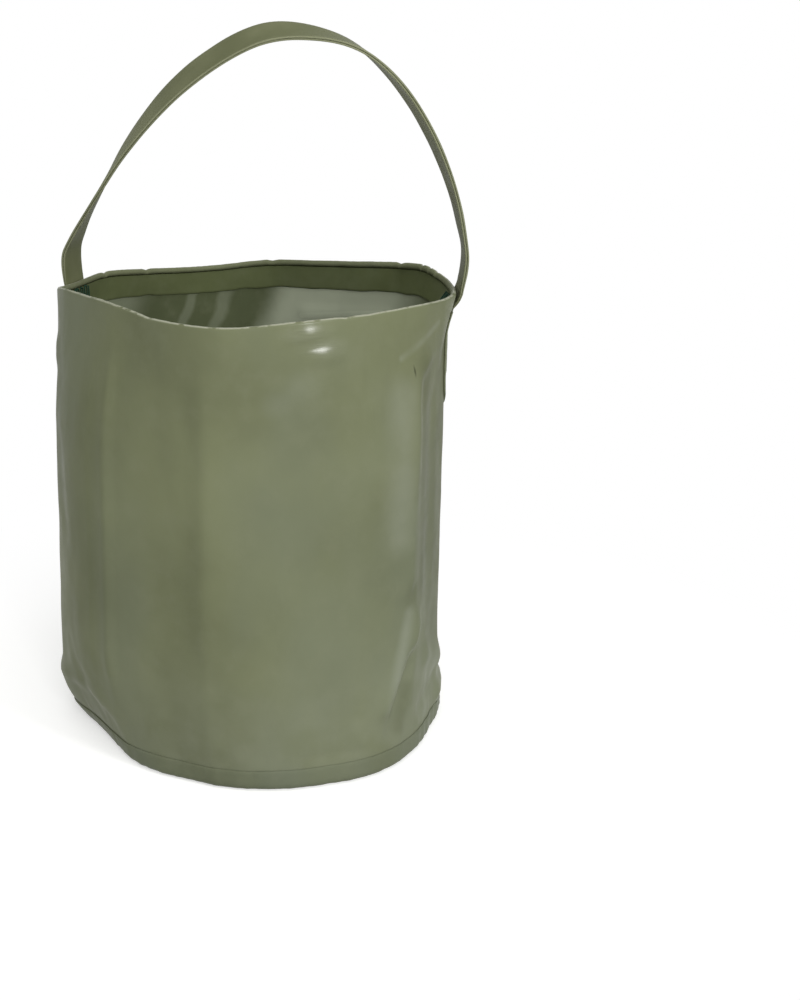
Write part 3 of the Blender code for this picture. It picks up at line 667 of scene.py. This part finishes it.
def make_base(material):
    """The base disc with its edge bent up outside the panel's foot, thinned where it is welded."""
    outside = BODY_RADIUS + GAP / 2 + FABRIC
    taper = FABRIC * 2
    rings = BASE_RINGS
    profile = [(outside * share / rings, 0.0) for share in range(rings)]
    for layer in (0.0, FABRIC):
        bend, middle = BASE_CORNER - layer, outside - BASE_CORNER
        turns = [radians(90 * step / rings) for step in range(rings + 1)]
        arc = [(middle + bend * sin(turn), BASE_CORNER - bend * cos(turn)) for turn in turns]
        rise = FLANGE_HEIGHT - taper - BASE_CORNER
        arc += [(outside - layer, BASE_CORNER + rise * share / 4) for share in range(1, 5)]
        if layer:
            profile += [(outside - FABRIC, FLANGE_HEIGHT)] + arc[::-1]
        else:
            profile += arc
            profile.append((outside - FABRIC * 0.25, FLANGE_HEIGHT - taper * 0.4))
            profile.append((outside - FABRIC * 0.6, FLANGE_HEIGHT))
    profile += [(outside * share / rings, FABRIC) for share in reversed(range(rings))]
    shape = spin_profile(profile, False, on_disc)
    for point in shape.verts:
        spread = from_middle(point.co)[0] / BODY_RADIUS
        sag = noise.noise(point.co * 22) * 0.0009 * (1 - spread**2) if spread < 1 else 0.0
        above = point.co.z > FABRIC / 2
        point.co = drape(point.co)
        if above and point.co.z < FABRIC * 2:
            point.co.z += abs(sag)
    bmesh.ops.recalc_face_normals(shape, faces=shape.faces)
    return add_piece("bucket_base", finish_mesh(shape, "bucket_base", 50), material)


def make_rim_hem(material):
    """The band below the rolled edge, turned in and welded to the wall, with its cut lower edge."""
    band_out = BODY_RADIUS - FABRIC - GAP
    band_in = band_out - FABRIC
    top = BEAD_FOOT + FABRIC
    rise = top - BAND_FOOT
    heights = [BAND_FOOT + rise * step / BAND_ROWS for step in range(BAND_ROWS + 1)]
    profile = [(band_in, height) for height in reversed(heights)]
    profile.append((band_in + FABRIC * 0.3, BAND_FOOT - FABRIC * 0.4))
    profile.append((band_out, BAND_FOOT - FABRIC * 0.4))
    profile += [(band_out, height) for height in heights]
    shape = spin_profile(profile, True, on_roll)
    for point in shape.verts:
        radius, turn = from_middle(point.co)
        side, front = cos(turn), sin(turn)
        ripple = random_at(side * 26, front * 26, point.co.z * 60)
        lower = 1 - smooth((point.co.z - BAND_FOOT) / BAND_LOOSE)
        sag = lower * 0.0010 * random_at(side * 9, front * 9, 4)
        loose = lower * 0.0006 * max(random_at(side * 14, front * 14, 6), 0.0)
        inner = radius < band_out - FABRIC / 2
        push = 0.00012 * ripple * inner - loose
        point.co.x += push * side
        point.co.y += push * front
        point.co = drape(point.co)
        point.co.z += sag
    bmesh.ops.recalc_face_normals(shape, faces=shape.faces)
    return add_piece("bucket_rim", finish_mesh(shape, "bucket_rim", 60), material)


def patch_half_width(height):
    up = height - PATCH_FOOT
    if up >= PATCH_CORNER:
        return PATCH_WIDTH / 2
    return PATCH_WIDTH / 2 - PATCH_CORNER + sqrt(PATCH_CORNER**2 - (PATCH_CORNER - up) ** 2)


def make_patch(name, angle, material):
    """The sheet welded over a strap end, raised over the strap and pressed flat round it."""
    shape = bmesh.new()
    grid = bmesh.ops.create_grid(shape, x_segments=PATCH_CUTS[0], y_segments=PATCH_CUTS[1], size=1)
    flat = {}
    channel = STRAP_WIDTH / 2 + GAP
    for point in grid["verts"]:
        share = (point.co.y + 1) / 2
        height = PATCH_FOOT + PATCH_LENGTH * (share**1.5 * 0.35 + share * 0.65)
        across = point.co.x * patch_half_width(height)
        over_strap = 1 - smooth((abs(across) - channel) / CHANNEL_SLOPE)
        over_strap *= smooth((height - STRAP_FOOT + CHANNEL_SLOPE) / CHANNEL_SLOPE)
        edge = min(patch_half_width(height) - abs(across), (height - PATCH_FOOT))
        pressed = 1 - smooth(abs(edge - PRESSED_EDGE) / PRESSED_HALF)
        offset = GAP + STRAP_THICKNESS * PRESSED_SHARE * over_strap - GAP * 0.6 * pressed
        offset += 0.00015 * random_at(across * 160, height * 160, angle)
        flat[point] = (radians(angle) * BODY_RADIUS + across, height)
        point.co = on_panel(angle, across, height, offset)
    mark_cloth(shape, flat.get)
    bmesh.ops.remove_doubles(shape, verts=shape.verts, dist=WELD)
    face_outwards(shape)
    piece = add_piece(name, finish_mesh(shape, name, 60), material)
    add_wall(piece, FABRIC, 1.0)
    soften = piece.modifiers.new("cut edge", "BEVEL")
    soften.width = FABRIC * 0.3
    soften.segments = 2
    soften.limit_method = "ANGLE"
    return piece


def strap_stations():
    """Places and tilts of the whole strap, from under the left patch to under the right one."""
    rise = GAP + STRAP_THICKNESS / 2
    stations = []
    for height in (STRAP_FOOT, (STRAP_FOOT + ROOT_FOOT) / 2, ROOT_FOOT):
        stations.append((on_panel(LEFT_ANGLE, 0, height, rise), ROOT_TILTS[0]))
    for right, back, up, tilt in ROUTE_SHARES:
        place = Vector((right * BODY_RADIUS, back * BODY_RADIUS, AXIS_HEIGHT + up * ARCH_RISE))
        stations.append((place, tilt))
    for height in (ROOT_FOOT, (STRAP_FOOT + ROOT_FOOT) / 2, STRAP_FOOT):
        stations.append((on_panel(RIGHT_ANGLE, 0, height, rise), ROOT_TILTS[1]))
    return stations


def oriented_frame(place, run, width):
    width = (width - run * width.dot(run)).normalized()
    face = run.cross(width)
    rows = Matrix((width, face, run)).transposed().to_4x4()
    rows.translation = place
    return rows


def strap_frame(place, along, tilt):
    run = along.normalized()
    inward = Vector((0, 1, 0)).cross(run).normalized()
    turn = radians(tilt)
    width = Vector((0, -1, 0)) * cos(turn) + inward * sin(turn)
    return oriented_frame(place, run, width)


def wall_frame(angle, height, front):
    """The section of the strap where it lies flat on the panel."""
    offset = GAP + STRAP_THICKNESS / 2
    half = front * STRAP_WIDTH / 2
    width = on_panel(angle, half, height, offset) - on_panel(angle, -half, height, offset)
    along = on_panel(angle, 0, height + GAP * 8, offset) - on_panel(angle, 0, height, offset)
    return oriented_frame(on_panel(angle, 0, height, offset), (along * front).normalized(), width)


def root_way(angle, lean):
    """The way the strap takes out of a patch: up along the panel, leaning out from it."""
    outwards = round_middle(1, radians(angle), 0)
    return wall_frame(angle, ROOT_FOOT, 1).col[2].to_3d() + outwards * lean


def strap_frames():
    """Frames along the strap, flat on the wall at both ends and on a smooth curve between."""
    stations = strap_stations()
    places = [place for place, tilt in stations]
    last = len(places) - 1
    ways = [places[1] - places[0]]
    ways += [(places[i + 1] - places[i - 1]) / 2 for i in range(1, last)]
    ways.append(places[last] - places[last - 1])
    leaving = root_way(LEFT_ANGLE, ROOT_LEANS[0]), -root_way(RIGHT_ANGLE, ROOT_LEANS[1])
    frames = []
    for number in range(last):
        start, end = places[number], places[number + 1]
        length = (end - start).length
        leave = (leaving[0] if number == 2 else ways[number]).normalized() * length
        arrive = (leaving[1] if number == last - 3 else ways[number + 1]).normalized() * length
        for step in range(STRAP_STEPS + (number == last - 1)):
            t = step / STRAP_STEPS
            place = smooth_curve(t, start, end, leave, arrive)
            way = (start - end) * (6 * t**2 - 6 * t)
            way += leave * (3 * t**2 - 4 * t + 1) + arrive * (3 * t**2 - 2 * t)
            tilt = stations[number][1] * (1 - t) + stations[number + 1][1] * t
            if 2 <= number < last - 2:
                frames.append(strap_frame(place, way, tilt))
            else:
                angle, front = (LEFT_ANGLE, 1) if number < 2 else (RIGHT_ANGLE, -1)
                frames.append(wall_frame(angle, place.z, front))
    return eased(frames)


def eased(frames):
    """Evens out the turn and the bends of the strap between the patches."""
    first, last = 2 * STRAP_STEPS, len(frames) - 2 * STRAP_STEPS
    for number in range(EASE_PASSES):
        before = [item.copy() for item in frames]
        for i in range(first - 3, last + 3):
            near = before[i - 2 : i + 3]
            width = sum((item.col[0].to_3d() for item in near), Vector())
            place = before[i].translation.copy()
            if number < PLACE_PASSES and first + STRAP_STEPS // 2 < i < last - STRAP_STEPS // 2:
                place = sum((item.translation for item in near), Vector()) / len(near)
            run = before[i].col[2].to_3d()
            if first < i < last:
                run = (before[i + 1].translation - before[i - 1].translation).normalized()
            frames[i] = oriented_frame(place, run, width)
    return frames


def pressed(frames):
    """Makes the strap thinner where it is welded under a patch. Its inner face stays in place."""
    for number, section in enumerate(frames):
        beyond = min(number, len(frames) - 1 - number) / STRAP_STEPS - 2
        share = PRESSED_SHARE + (1 - PRESSED_SHARE) * smooth(beyond)
        section.translation += section.col[1].to_3d() * (1 - share) * STRAP_THICKNESS / 2
        section.col[1] *= share
    return frames


def strap_section():
    """Section of the folded strap: a round fold at the back edge, two layers at the front."""
    half, thick = STRAP_WIDTH / 2, STRAP_THICKNESS / 2
    groove = STRAP_LAYER_GROOVE
    turns = [radians(turn) for turn in (90, 60, 30, 0, -30, -60, -90)]
    fold = [(-half + thick - thick * cos(turn), thick * sin(turn)) for turn in turns]
    layers = [
        (half - groove * 0.35, -thick),
        (half, -thick * 0.75),
        (half, -thick * 0.35),
        (half - groove * 0.3, -thick * 0.14),
        (half - groove, 0.0),
        (half - groove * 0.45, thick * 0.14),
        (half - groove * 0.15, thick * 0.35),
        (half - groove * 0.15, thick * 0.75),
        (half - groove * 0.5, thick),
    ]
    middle_low = [(half * share, -thick * 0.94) for share in (-0.6, -0.2, 0.2, 0.6)]
    middle_high = [(half * share, thick * 0.94) for share in (0.6, 0.2, -0.2, -0.6)]
    return fold + middle_low + layers + middle_high


def make_strap(material):
    """Extrudes the strap's section along its frames, with a slight wander of its edges."""
    frames = pressed(strap_frames())
    section = strap_section()
    shape = bmesh.new()
    ring = [shape.verts.new(frames[0] @ Vector((x, y, 0))) for x, y in section]
    place_of = dict(zip(ring, [(x, 0.0) for x, y in section]))
    end = shape.faces.new(ring)
    shape.faces.new(reversed([shape.verts.new(point.co) for point in ring]))
    run = 0.0
    for before, after in zip(frames, frames[1:]):
        run += (after.translation - before.translation).length
        grown = bmesh.ops.extrude_face_region(shape, geom=[end])["geom"]
        bmesh.ops.delete(shape, geom=[end], context="FACES_ONLY")
        end = next(item for item in grown if isinstance(item, bmesh.types.BMFace))
        points = [item for item in grown if isinstance(item, bmesh.types.BMVert)]
        bmesh.ops.transform(shape, matrix=after @ before.inverted(), verts=points)
        for point in points:
            place = after.inverted() @ point.co
            place_of[point] = (place.x, run)
    free = {point: place for point, place in place_of.items() if point.is_valid}
    shape.normal_update()
    mark_cloth(shape, lambda point: free.get(point, (0.0, 0.0)))
    for point, (across, run_here) in free.items():
        wander = random_at(run_here * 28, copysign(3, across), 0)
        edge = smooth((abs(across) - STRAP_WIDTH * 0.3) / (STRAP_WIDTH * 0.2))
        lumps = random_at(run_here * 60, across * 110, 9)
        point.co += point.normal * (0.00014 * lumps + 0.00022 * wander * edge)
    bmesh.ops.remove_doubles(shape, verts=shape.verts, dist=WELD)
    bmesh.ops.recalc_face_normals(shape, faces=shape.faces)
    return add_piece("carry_strap", finish_mesh(shape, "carry_strap", 40), material)


def thread_piece(name, routes, material, width=THREAD):
    """Threads as thin round tubes along lists of points."""
    curve = bpy.data.curves.new(name, "CURVE")
    curve.dimensions = "3D"
    curve.bevel_depth = width / 2
    curve.bevel_resolution = 2
    curve.use_fill_caps = True
    for route in routes:
        line = curve.splines.new("POLY")
        line.points.add(len(route) - 1)
        for point, place in zip(line.points, route):
            point.co = (*place, 1.0)
    piece = add_object(name, curve)
    bpy.context.view_layer.update()
    graph = bpy.context.evaluated_depsgraph_get()
    mesh = bpy.data.meshes.new_from_object(piece.evaluated_get(graph))
    bpy.data.objects.remove(piece, do_unlink=True)
    shape = bmesh.new()
    shape.from_mesh(mesh)
    bpy.data.meshes.remove(mesh)
    mark_cloth(shape, lambda point: (point.co.x, point.co.z))
    return add_piece(name, finish_mesh(shape, name, 60), material)


def make_stitching(name, angle, material, tail):
    """Thread that tacks a strap end through panel and hem, to and fro, with loose ends."""
    top = MOUTH_HEIGHT - STITCH_BELOW_RIM
    width = STRAP_WIDTH - 4 * THREAD
    lift = -2 * FABRIC - GAP - THREAD * 0.45
    corners = []
    for number in range(2 * STITCHES):
        across = width * (number // 2 / (STITCHES - 1) - 0.5)
        uneven = random_at(number * 3.7, angle, 1)
        aside = random_at(number * 2.3, angle, 6)
        up = (number + 1) // 2 % 2
        corners.append((across + 0.0012 * aside, top - STITCH_HEIGHT * up + 0.0035 * uneven))
    route = []
    for (side, height), (next_side, next_height) in zip(corners, corners[1:]):
        for step in range(STITCH_STEPS):
            share = step / STITCH_STEPS
            proud = -0.0006 * sin(pi * share)
            across, up = side + (next_side - side) * share, height + (next_height - height) * share
            route.append(on_panel(angle, across, up, lift + proud))
    routes = [route]
    for start, length, bow in LOOSE_ENDS:
        if not tail and start < 0:
            continue
        loose = []
        for step in range(9):
            share = step / 8
            side = width * start + bow * sin(share * 5.0)
            height = top - STITCH_HEIGHT * 0.4 - length * share
            loose.append(on_panel(angle, side, height, lift - 0.0016 * sin(share * 2.6)))
        routes.append(loose)
    return thread_piece(name, routes, material)


class Value:
    """A number that varies over a surface. Arithmetic on it adds the nodes that work it out."""

    def __init__(self, graph, socket):
        self.graph = graph
        self.socket = socket

    def math(self, operation, *others):
        return self.graph.math(operation, self, *others)

    def __add__(self, other):
        return self.math("ADD", other)

    __radd__ = __add__

    def __sub__(self, other):
        return self.math("SUBTRACT", other)

    def __rsub__(self, other):
        return self.graph.math("SUBTRACT", other, self)

    def __mul__(self, other):
        return self.math("MULTIPLY", other)

    __rmul__ = __mul__

    def __truediv__(self, other):
        return self.math("DIVIDE", other)

    def size(self):
        return self.math("ABSOLUTE")


class Nodes:
    """A node tree, with one way to add any node and link its sockets."""

    def __init__(self, owner):
        owner.use_nodes = True
        self.tree = owner.node_tree

    def set(self, socket, value):
        if isinstance(value, Value):
            value = value.socket
        if isinstance(value, bpy.types.NodeSocket):
            self.tree.links.new(value, socket)
        elif isinstance(value, tuple) and len(value) == 3 and socket.type == "RGBA":
            socket.default_value = (*value, 1.0)
        else:
            socket.default_value = value

    def add(self, kind, settings=None, **inputs):
        """Adds a node; an input is named by its words, or by i and its number."""
        node = self.tree.nodes.new(kind)
        for name, value in (settings or {}).items():
            setattr(node, name, value)
        for name, value in inputs.items():
            by_number = name[0] == "i" and name[1:].isdigit()
            key = int(name[1:]) if by_number else name.replace("_", " ")
            self.set(node.inputs[key], value)
        return node

    def math(self, operation, *values):
        inputs = {"i%d" % number: value for number, value in enumerate(values)}
        node = self.add("ShaderNodeMath", {"operation": operation}, **inputs)
        return Value(self, node.outputs[0])

    def band(self, value, low, high, start=0.0, end=1.0):
        """Start below low, end above high, changing smoothly between."""
        settings = {"interpolation_type": "SMOOTHSTEP"}
        limits = {"From_Min": low, "From_Max": high, "To_Min": start, "To_Max": end}
        node = self.add("ShaderNodeMapRange", settings, Value=value, **limits)
        return Value(self, node.outputs[0])

    def parts(self, vector):
        node = self.add("ShaderNodeSeparateXYZ", Vector=vector)
        return [Value(self, socket) for socket in node.outputs]

    def mix(self, share, first, second):
        node = self.add("ShaderNodeMix", {"data_type": "RGBA"}, i0=share, i6=first, i7=second)
        return node.outputs[2]


class Surface(Nodes):
    """A material and its nodes, with the places that its patterns follow."""

    def __init__(self, name):
        self.material = bpy.data.materials.new(name)
        super().__init__(self.material)
        self.shader = self.tree.nodes["Principled BSDF"]
        self.laid = self.add("ShaderNodeAttribute", {"attribute_name": "laid"}).outputs["Vector"]
        cloth = self.add("ShaderNodeUVMap", {"uv_map": "cloth"}).outputs["UV"]
        self.across, self.up, _ = self.parts(cloth)

    def noise(self, scale, detail=3.0, roughness=0.5, stretch=None):
        """Soft random spots; scale is in spots per metre."""
        place = self.laid
        if stretch:
            place = self.add("ShaderNodeMapping", Vector=place, Scale=stretch).outputs[0]
        node = self.add(
            "ShaderNodeTexNoise", Vector=place, Scale=scale, Detail=detail, Roughness=roughness
        )
        return Value(self, node.outputs["Fac"])

    def weave(self, pitch):
        """The cloth under the coating: two sets of threads that cross."""
        threads = [(way * (tau / pitch)).math("SINE").size() for way in (self.across, self.up)]
        return threads[0] + threads[1]

    def near(self, angle, height, wide, high):
        """1 at a place of the rolled cloth, fading to 0 at its half width and half height."""
        across, up = (self.across - place_across(angle)) / wide, (self.up - height) / high
        return self.band((across * across + up * up).math("SQRT"), 0.0, 1.0, 1.0, 0.0)

    def along(self, start, end, wide):
        """1 on a line between two places of the rolled cloth, fading to 0 beside it."""
        first, last = ((place_across(angle), height) for angle, height in (start, end))
        run = last[0] - first[0], last[1] - first[1]
        aside, above = self.across - first[0], self.up - first[1]
        share = (aside * run[0] + above * run[1]) / (run[0] ** 2 + run[1] ** 2)
        share = share.math("MAXIMUM", 0.0).math("MINIMUM", 1.0)
        aside, above = aside - share * run[0], above - share * run[1]
        return self.band((aside * aside + above * above).math("SQRT"), 0.0, wide, 1.0, 0.0)

    def marks(self, lines, spots=()):
        """Soft lines and spots added up, each times its strength."""
        return sum(
            [self.along(*line) * strength for *line, strength in lines]
            + [self.near(*spot) * strength for *spot, strength in spots]
        )

    def bump(self, layers):
        """Bump nodes in a chain, each with its height in metres."""
        normal = None
        for height, distance in layers:
            node = self.add("ShaderNodeBump", Height=height, Distance=distance, Strength=1.0)
            if normal is not None:
                self.set(node.inputs["Normal"], normal)
            normal = node.outputs[0]
        self.set(self.shader.inputs["Normal"], normal)

    def finish(self, **inputs):
        for name, value in inputs.items():
            self.set(self.shader.inputs[name.replace("_", " ")], value)
        return self.material


def place_across(angle):
    """How far an angle of the bucket lies from the lap seam on the unrolled cloth."""
    return radians((angle - LAP_ANGLE) % FULL_TURN) * BODY_RADIUS


def shade(colour, share):
    return tuple(channel * share for channel in colour)


def greyed(colour):
    """The same colour with a dusty film on it."""
    return colour[0] * 0.98, colour[1] * 1.0, colour[2] * 1.22


def coated_fabric(name, colour, worn, shine, edge_height=None, bloom_and_sheen=None, painted_sheen=None):
    """Satin coated cloth: soft clouds, faint weave, rubs and dull spots, worn paler along its fold
    with a painted highlight there, and where asked pale patches with painted sheen and painted
    shade.
    """
    surface = Surface(name)
    band, mix = surface.band, surface.mix
    cloudy = surface.noise(11, detail=4)
    mottle = surface.noise(60, roughness=0.6)
    grime = surface.noise(30, detail=5, roughness=0.62, stretch=(1, 1, 0.35))
    rubs = band(surface.noise(300, detail=2, stretch=(1, 1, 0.25)), 0.66, 0.82)
    hazy = surface.noise(9, stretch=(1, 1, 0.55))
    tint = mix(band(cloudy, 0.30, 0.72), shade(colour, 0.86), shade(colour, 1.10))
    tint = mix(band(hazy, 0.42, 0.66) * 0.55, tint, greyed(colour))
    tint = mix(band(mottle, 0.42, 0.78) * 0.25, tint, worn)
    tint = mix(band(grime, 0.56, 0.80) * 0.30, tint, shade(colour, 0.74))
    tint = mix(rubs * 0.12, tint, worn)
    # Pale patches on the inner face, partly painted sheen
    if bloom_and_sheen:
        tint = mix(bloom_and_sheen(surface), tint, PALE_BLOOM_AND_SHEEN)
    # Painted sheen and highlights, mixed towards a pale grey
    if painted_sheen:
        tint = mix(painted_sheen(surface), tint, PALE_SHEEN)
        # Painted shade: the outside's right side darkened
        tint = mix(outside_painted_shade(surface), tint, shade(colour, 0.58))
    crinkles = surface.noise(520, detail=2, stretch=(0.14, 0.14, 1))
    first, second = (surface.near(*place) for place in CRINKLES)
    crinkled = first.math("MAXIMUM", second)
    tint = mix(surface.near(*SCRATCH) * 0.85, tint, shade(colour, 0.25))
    if edge_height is not None:
        # Along the rolled top edge: worn paler, partly a painted highlight of the fold's edge
        edge_wear_and_highlight = 1 - band((surface.up - edge_height).size(), 0.0004, 0.0013)
        edge_wear_and_highlight = edge_wear_and_highlight * band(surface.noise(170), 0.34, 0.52)
        tint = mix(edge_wear_and_highlight * 0.80, tint, WORN_EDGE_AND_HIGHLIGHT)
    dull = band(mottle, 0.35, 0.72)
    roughness = dull * 0.09 + band(grime, 0.5, 0.8) * 0.07 + shine - crinkled * 0.20
    gloss = crinkled * 0.9 + surface.marks(SHINY_LINES)
    surface.bump(
        (
            (surface.noise(45, detail=2), 0.00030),
            (surface.noise(240, detail=2), 0.00004),
            (crinkles * crinkled, 0.0008),
            (surface.weave(0.0012), 0.000004),
        )
    )
    coat = {"Coat_Weight": gloss, "Coat_Roughness": 0.27, "Coat_IOR": 1.6}
    return surface.finish(Base_Color=tint, Roughness=roughness, **MATT, **coat)


def inside_bloom_and_sheen(surface):
    """Pale patches on the inner face, partly a pale film on the coating and partly painted sheen:
    the back wall to the right and streaks to the left. Also paler towards the bottom, and a painted
    highlight along the hem's lower edge.
    """
    band = surface.band
    slanted = surface.across + (surface.up - 0.240) * 0.40 + (surface.noise(35) - 0.5) * 0.012
    right = band(slanted, 0.470, 0.494, 1.0, 0.0) * band(slanted, 0.345, 0.400)
    left = band(slanted, 0.570, 0.600) * band(slanted, 0.640, 0.670, 1.0, 0.0)
    streaks = band((slanted - 0.519).size(), 0.002, 0.007, 1.0, 0.0)
    streaks += band((slanted - 0.546).size(), 0.002, 0.006, 1.0, 0.0)
    low = band(surface.up, 0.02, 0.14, 0.25, 0.0)
    # Painted highlight along the hem's lower edge
    hem_edge_highlight = surface.along(*HEM_EDGE_HIGHLIGHT)
    return right * 0.85 + left * 0.31 + streaks * 0.21 + low * 0.8 + hem_edge_highlight * 0.5


def outside_painted_sheen(surface):
    """Painted sheen and highlights on the outside: along its right fold and its other folds, two
    highlight spots on its front, and paler towards its foot.
    """
    foot = surface.band(surface.up, 0.0, 0.11, 0.22, 0.0)
    broken = surface.band(surface.noise(40, detail=4), 0.30, 0.60, 0.45, 1.0)
    return (surface.marks(SHEEN_LINES, SHEEN_SPOTS) + foot) * broken


def outside_painted_shade(surface):
    """Painted shade on the outside: its darker right side between its right fold and the patch, and
    darker marks lower down by that fold.
    """
    broken = surface.band(surface.noise(55, detail=4), 0.25, 0.60, 0.5, 1.0)
    return surface.marks(SHADE_LINES, SHADE_SPOTS) * broken


def strap_fabric():
    """The folded strap: the same coating, duller, rubbed paler along both edges."""
    surface = Surface("carry_strap_fabric")
    across = surface.across.size() / (STRAP_WIDTH / 2)
    cloudy = surface.noise(40, detail=4)
    rubbed = surface.band(across + surface.noise(60, detail=2) * 0.08, 0.92, 1.06)
    tint = surface.mix(surface.band(cloudy, 0.30, 0.72), *STRAP_COLOURS)
    tint = surface.mix(rubbed * 0.60, tint, STRAP_WORN)
    roughness = surface.band(cloudy, 0.3, 0.7) * 0.10 + rubbed * 0.12 + 0.42
    surface.bump(((surface.noise(120, detail=1), 0.00012),))
    return surface.finish(Base_Color=tint, Roughness=roughness, **MATT)


def sewing_thread():
    surface = Surface("green_thread")
    twist = surface.noise(2500, detail=1, stretch=(1, 1, 3))
    surface.bump(((twist, 0.0002),))
    return surface.finish(
        Base_Color=surface.mix(twist, *THREAD_COLOURS), Roughness=0.75, Metallic=0.0
    )


def plain_rays(nodes):
    """1 for the rays that should see the plain white background."""
    ray = nodes.add("ShaderNodeLightPath").outputs
    seen = nodes.math("MAXIMUM", ray["Is Camera Ray"], ray["Is Glossy Ray"])
    return seen.math("MAXIMUM", ray["Is Transmission Ray"])


def make_floor():
    """A pale floor that fades to plain white, and keeps the bucket's soft shadow."""
    shape = bmesh.new()
    bmesh.ops.create_circle(shape, cap_ends=True, segments=96, radius=FLOOR_RADIUS)
    mesh = bpy.data.meshes.new("floor")
    shape.to_mesh(mesh)
    shape.free()
    floor = add_object("floor", mesh)
    floor.location.z = -GAP / 3
    surface = Surface("pale_floor")
    surface.finish(Base_Color=FLOOR_COLOUR, Roughness=0.9, Specular_IOR_Level=0.0)
    paper = surface.shader
    lift = surface.add("ShaderNodeEmission", Color=WHITE, Strength=FLOOR_LIFT)
    white = surface.add("ShaderNodeEmission", Color=WHITE, Strength=1.0)
    lifted = surface.add("ShaderNodeAddShader", i0=paper.outputs[0], i1=lift.outputs[0])
    place = surface.add("ShaderNodeTexCoord").outputs["Object"]
    away = surface.add("ShaderNodeVectorMath", {"operation": "LENGTH"}, i0=place).outputs["Value"]
    far = surface.band(away, *FLOOR_FADE)
    faded = surface.add("ShaderNodeMixShader", i0=far, i1=lifted.outputs[0], i2=white.outputs[0])
    shown = surface.add(
        "ShaderNodeMixShader", i0=plain_rays(surface), i1=paper.outputs[0], i2=faded.outputs[0]
    )
    surface.set(surface.tree.nodes["Material Output"].inputs["Surface"], shown.outputs[0])
    mesh.materials.append(surface.material)


def light_world():
    """White behind the bucket for what is seen, and a plain soft light from all round."""
    world = bpy.data.worlds.new("studio")
    bpy.context.scene.world = world
    sky = Nodes(world)
    _, forward, _ = sky.parts(sky.add("ShaderNodeTexCoord").outputs["Generated"])
    ray = sky.add("ShaderNodeLightPath").outputs
    plain = sky.band(forward, -0.6, 0.5, WORLD_LEVELS[0], WORLD_LEVELS[1])
    glossy = sky.band(forward, 0.55, 0.95, WORLD_LEVELS[2], 1.0)
    level = sky.add("ShaderNodeMix", i0=ray["Is Glossy Ray"], i2=plain, i3=glossy).outputs[0]
    seen = sky.math("MAXIMUM", ray["Is Camera Ray"], ray["Is Transmission Ray"])
    strength = sky.add("ShaderNodeMix", i0=seen, i2=level, i3=1.0).outputs[0]
    background = sky.tree.nodes["Background"]
    sky.set(background.inputs["Color"], WHITE)
    sky.set(background.inputs["Strength"], strength)


def add_softbox(name, azimuth, elevation, away, size, watts):
    """A square studio light that points at the bucket's middle."""
    turn, lift = radians(azimuth), radians(elevation)
    way = round_middle(cos(lift), turn, sin(lift))
    light = bpy.data.lights.new(name, "AREA")
    light.shape = "SQUARE"
    light.size = size
    light.energy = watts
    lamp = add_object(name, light)
    lamp.location = Vector((0, 0, MOUTH_HEIGHT / 2)) + way * away
    lamp.rotation_euler = way.to_track_quat("Z", "Y").to_euler()


def place_camera():
    """The photograph's view: slightly above the rim, the bucket left of the middle."""
    data = bpy.data.cameras.new("view")
    data.sensor_width, data.lens = 36.0, CAMERA_LENS
    data.shift_x, data.shift_y = CAMERA_SHIFT
    camera = add_object("view", data)
    camera.location = CAMERA_PLACE
    camera.rotation_euler = (radians(90.0 - CAMERA_DOWN), 0.0, 0.0)
    bpy.context.scene.camera = camera


def dress_bucket():
    panel_cloth = coated_fabric(
        "panel_fabric", PANEL_COLOUR, PANEL_WORN, 0.33, edge_height=TOP_OF_ROLL, painted_sheen=outside_painted_sheen
    )
    inner_cloth = coated_fabric(
        "panel_inside_fabric", INSIDE_COLOUR, PANEL_WORN, 0.33, bloom_and_sheen=inside_bloom_and_sheen
    )
    base_cloth = coated_fabric("base_fabric", *BASE_COLOURS, 0.36)
    hem_cloth = coated_fabric("hem_fabric", *HEM_COLOURS, 0.32)
    patch_cloth = coated_fabric("patch_fabric", PANEL_COLOUR, PANEL_WORN, 0.33)
    strap_cloth = strap_fabric()
    thread = sewing_thread()

    base = make_base(base_cloth)
    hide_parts("base_disc")
    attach(base, "base")

    rim = make_rim_hem(hem_cloth)
    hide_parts("rim_hem")
    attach(rim, "rim")

    low, high = (0.0, 0.0, -0.004), (0.0, 0.0, 0.266)
    for side, angle in (("left", LEFT_ANGLE), ("right", RIGHT_ANGLE)):
        patch = make_patch("handle_patch_cloth_" + side, angle, patch_cloth)
        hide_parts("handle_patch_" + side)
        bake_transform(patch)
        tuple(low)
        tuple(high)
        stitches = make_stitching("tack_stitches_" + side, angle, thread, side == "left")
        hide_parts("strap_stitching_" + side)
        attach(stitches, "rim")

    panel = make_side_panel(panel_cloth, inner_cloth)
    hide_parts("side_panel")
    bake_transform(panel)
    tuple(low)
    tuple(high)

    strap = make_strap(strap_cloth)
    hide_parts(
        "handle_strap",
        "strap_root_left",
        "strap_root_right",
        "strap_end_left",
        "strap_end_right",
    )
    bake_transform(strap)


def main():
    bpy.context.scene.view_settings.view_transform = "Standard"
    dress_bucket()
    make_floor()
    light_world()
    for softbox in SOFTBOXES:
        add_softbox(*softbox)
    place_camera()


main()
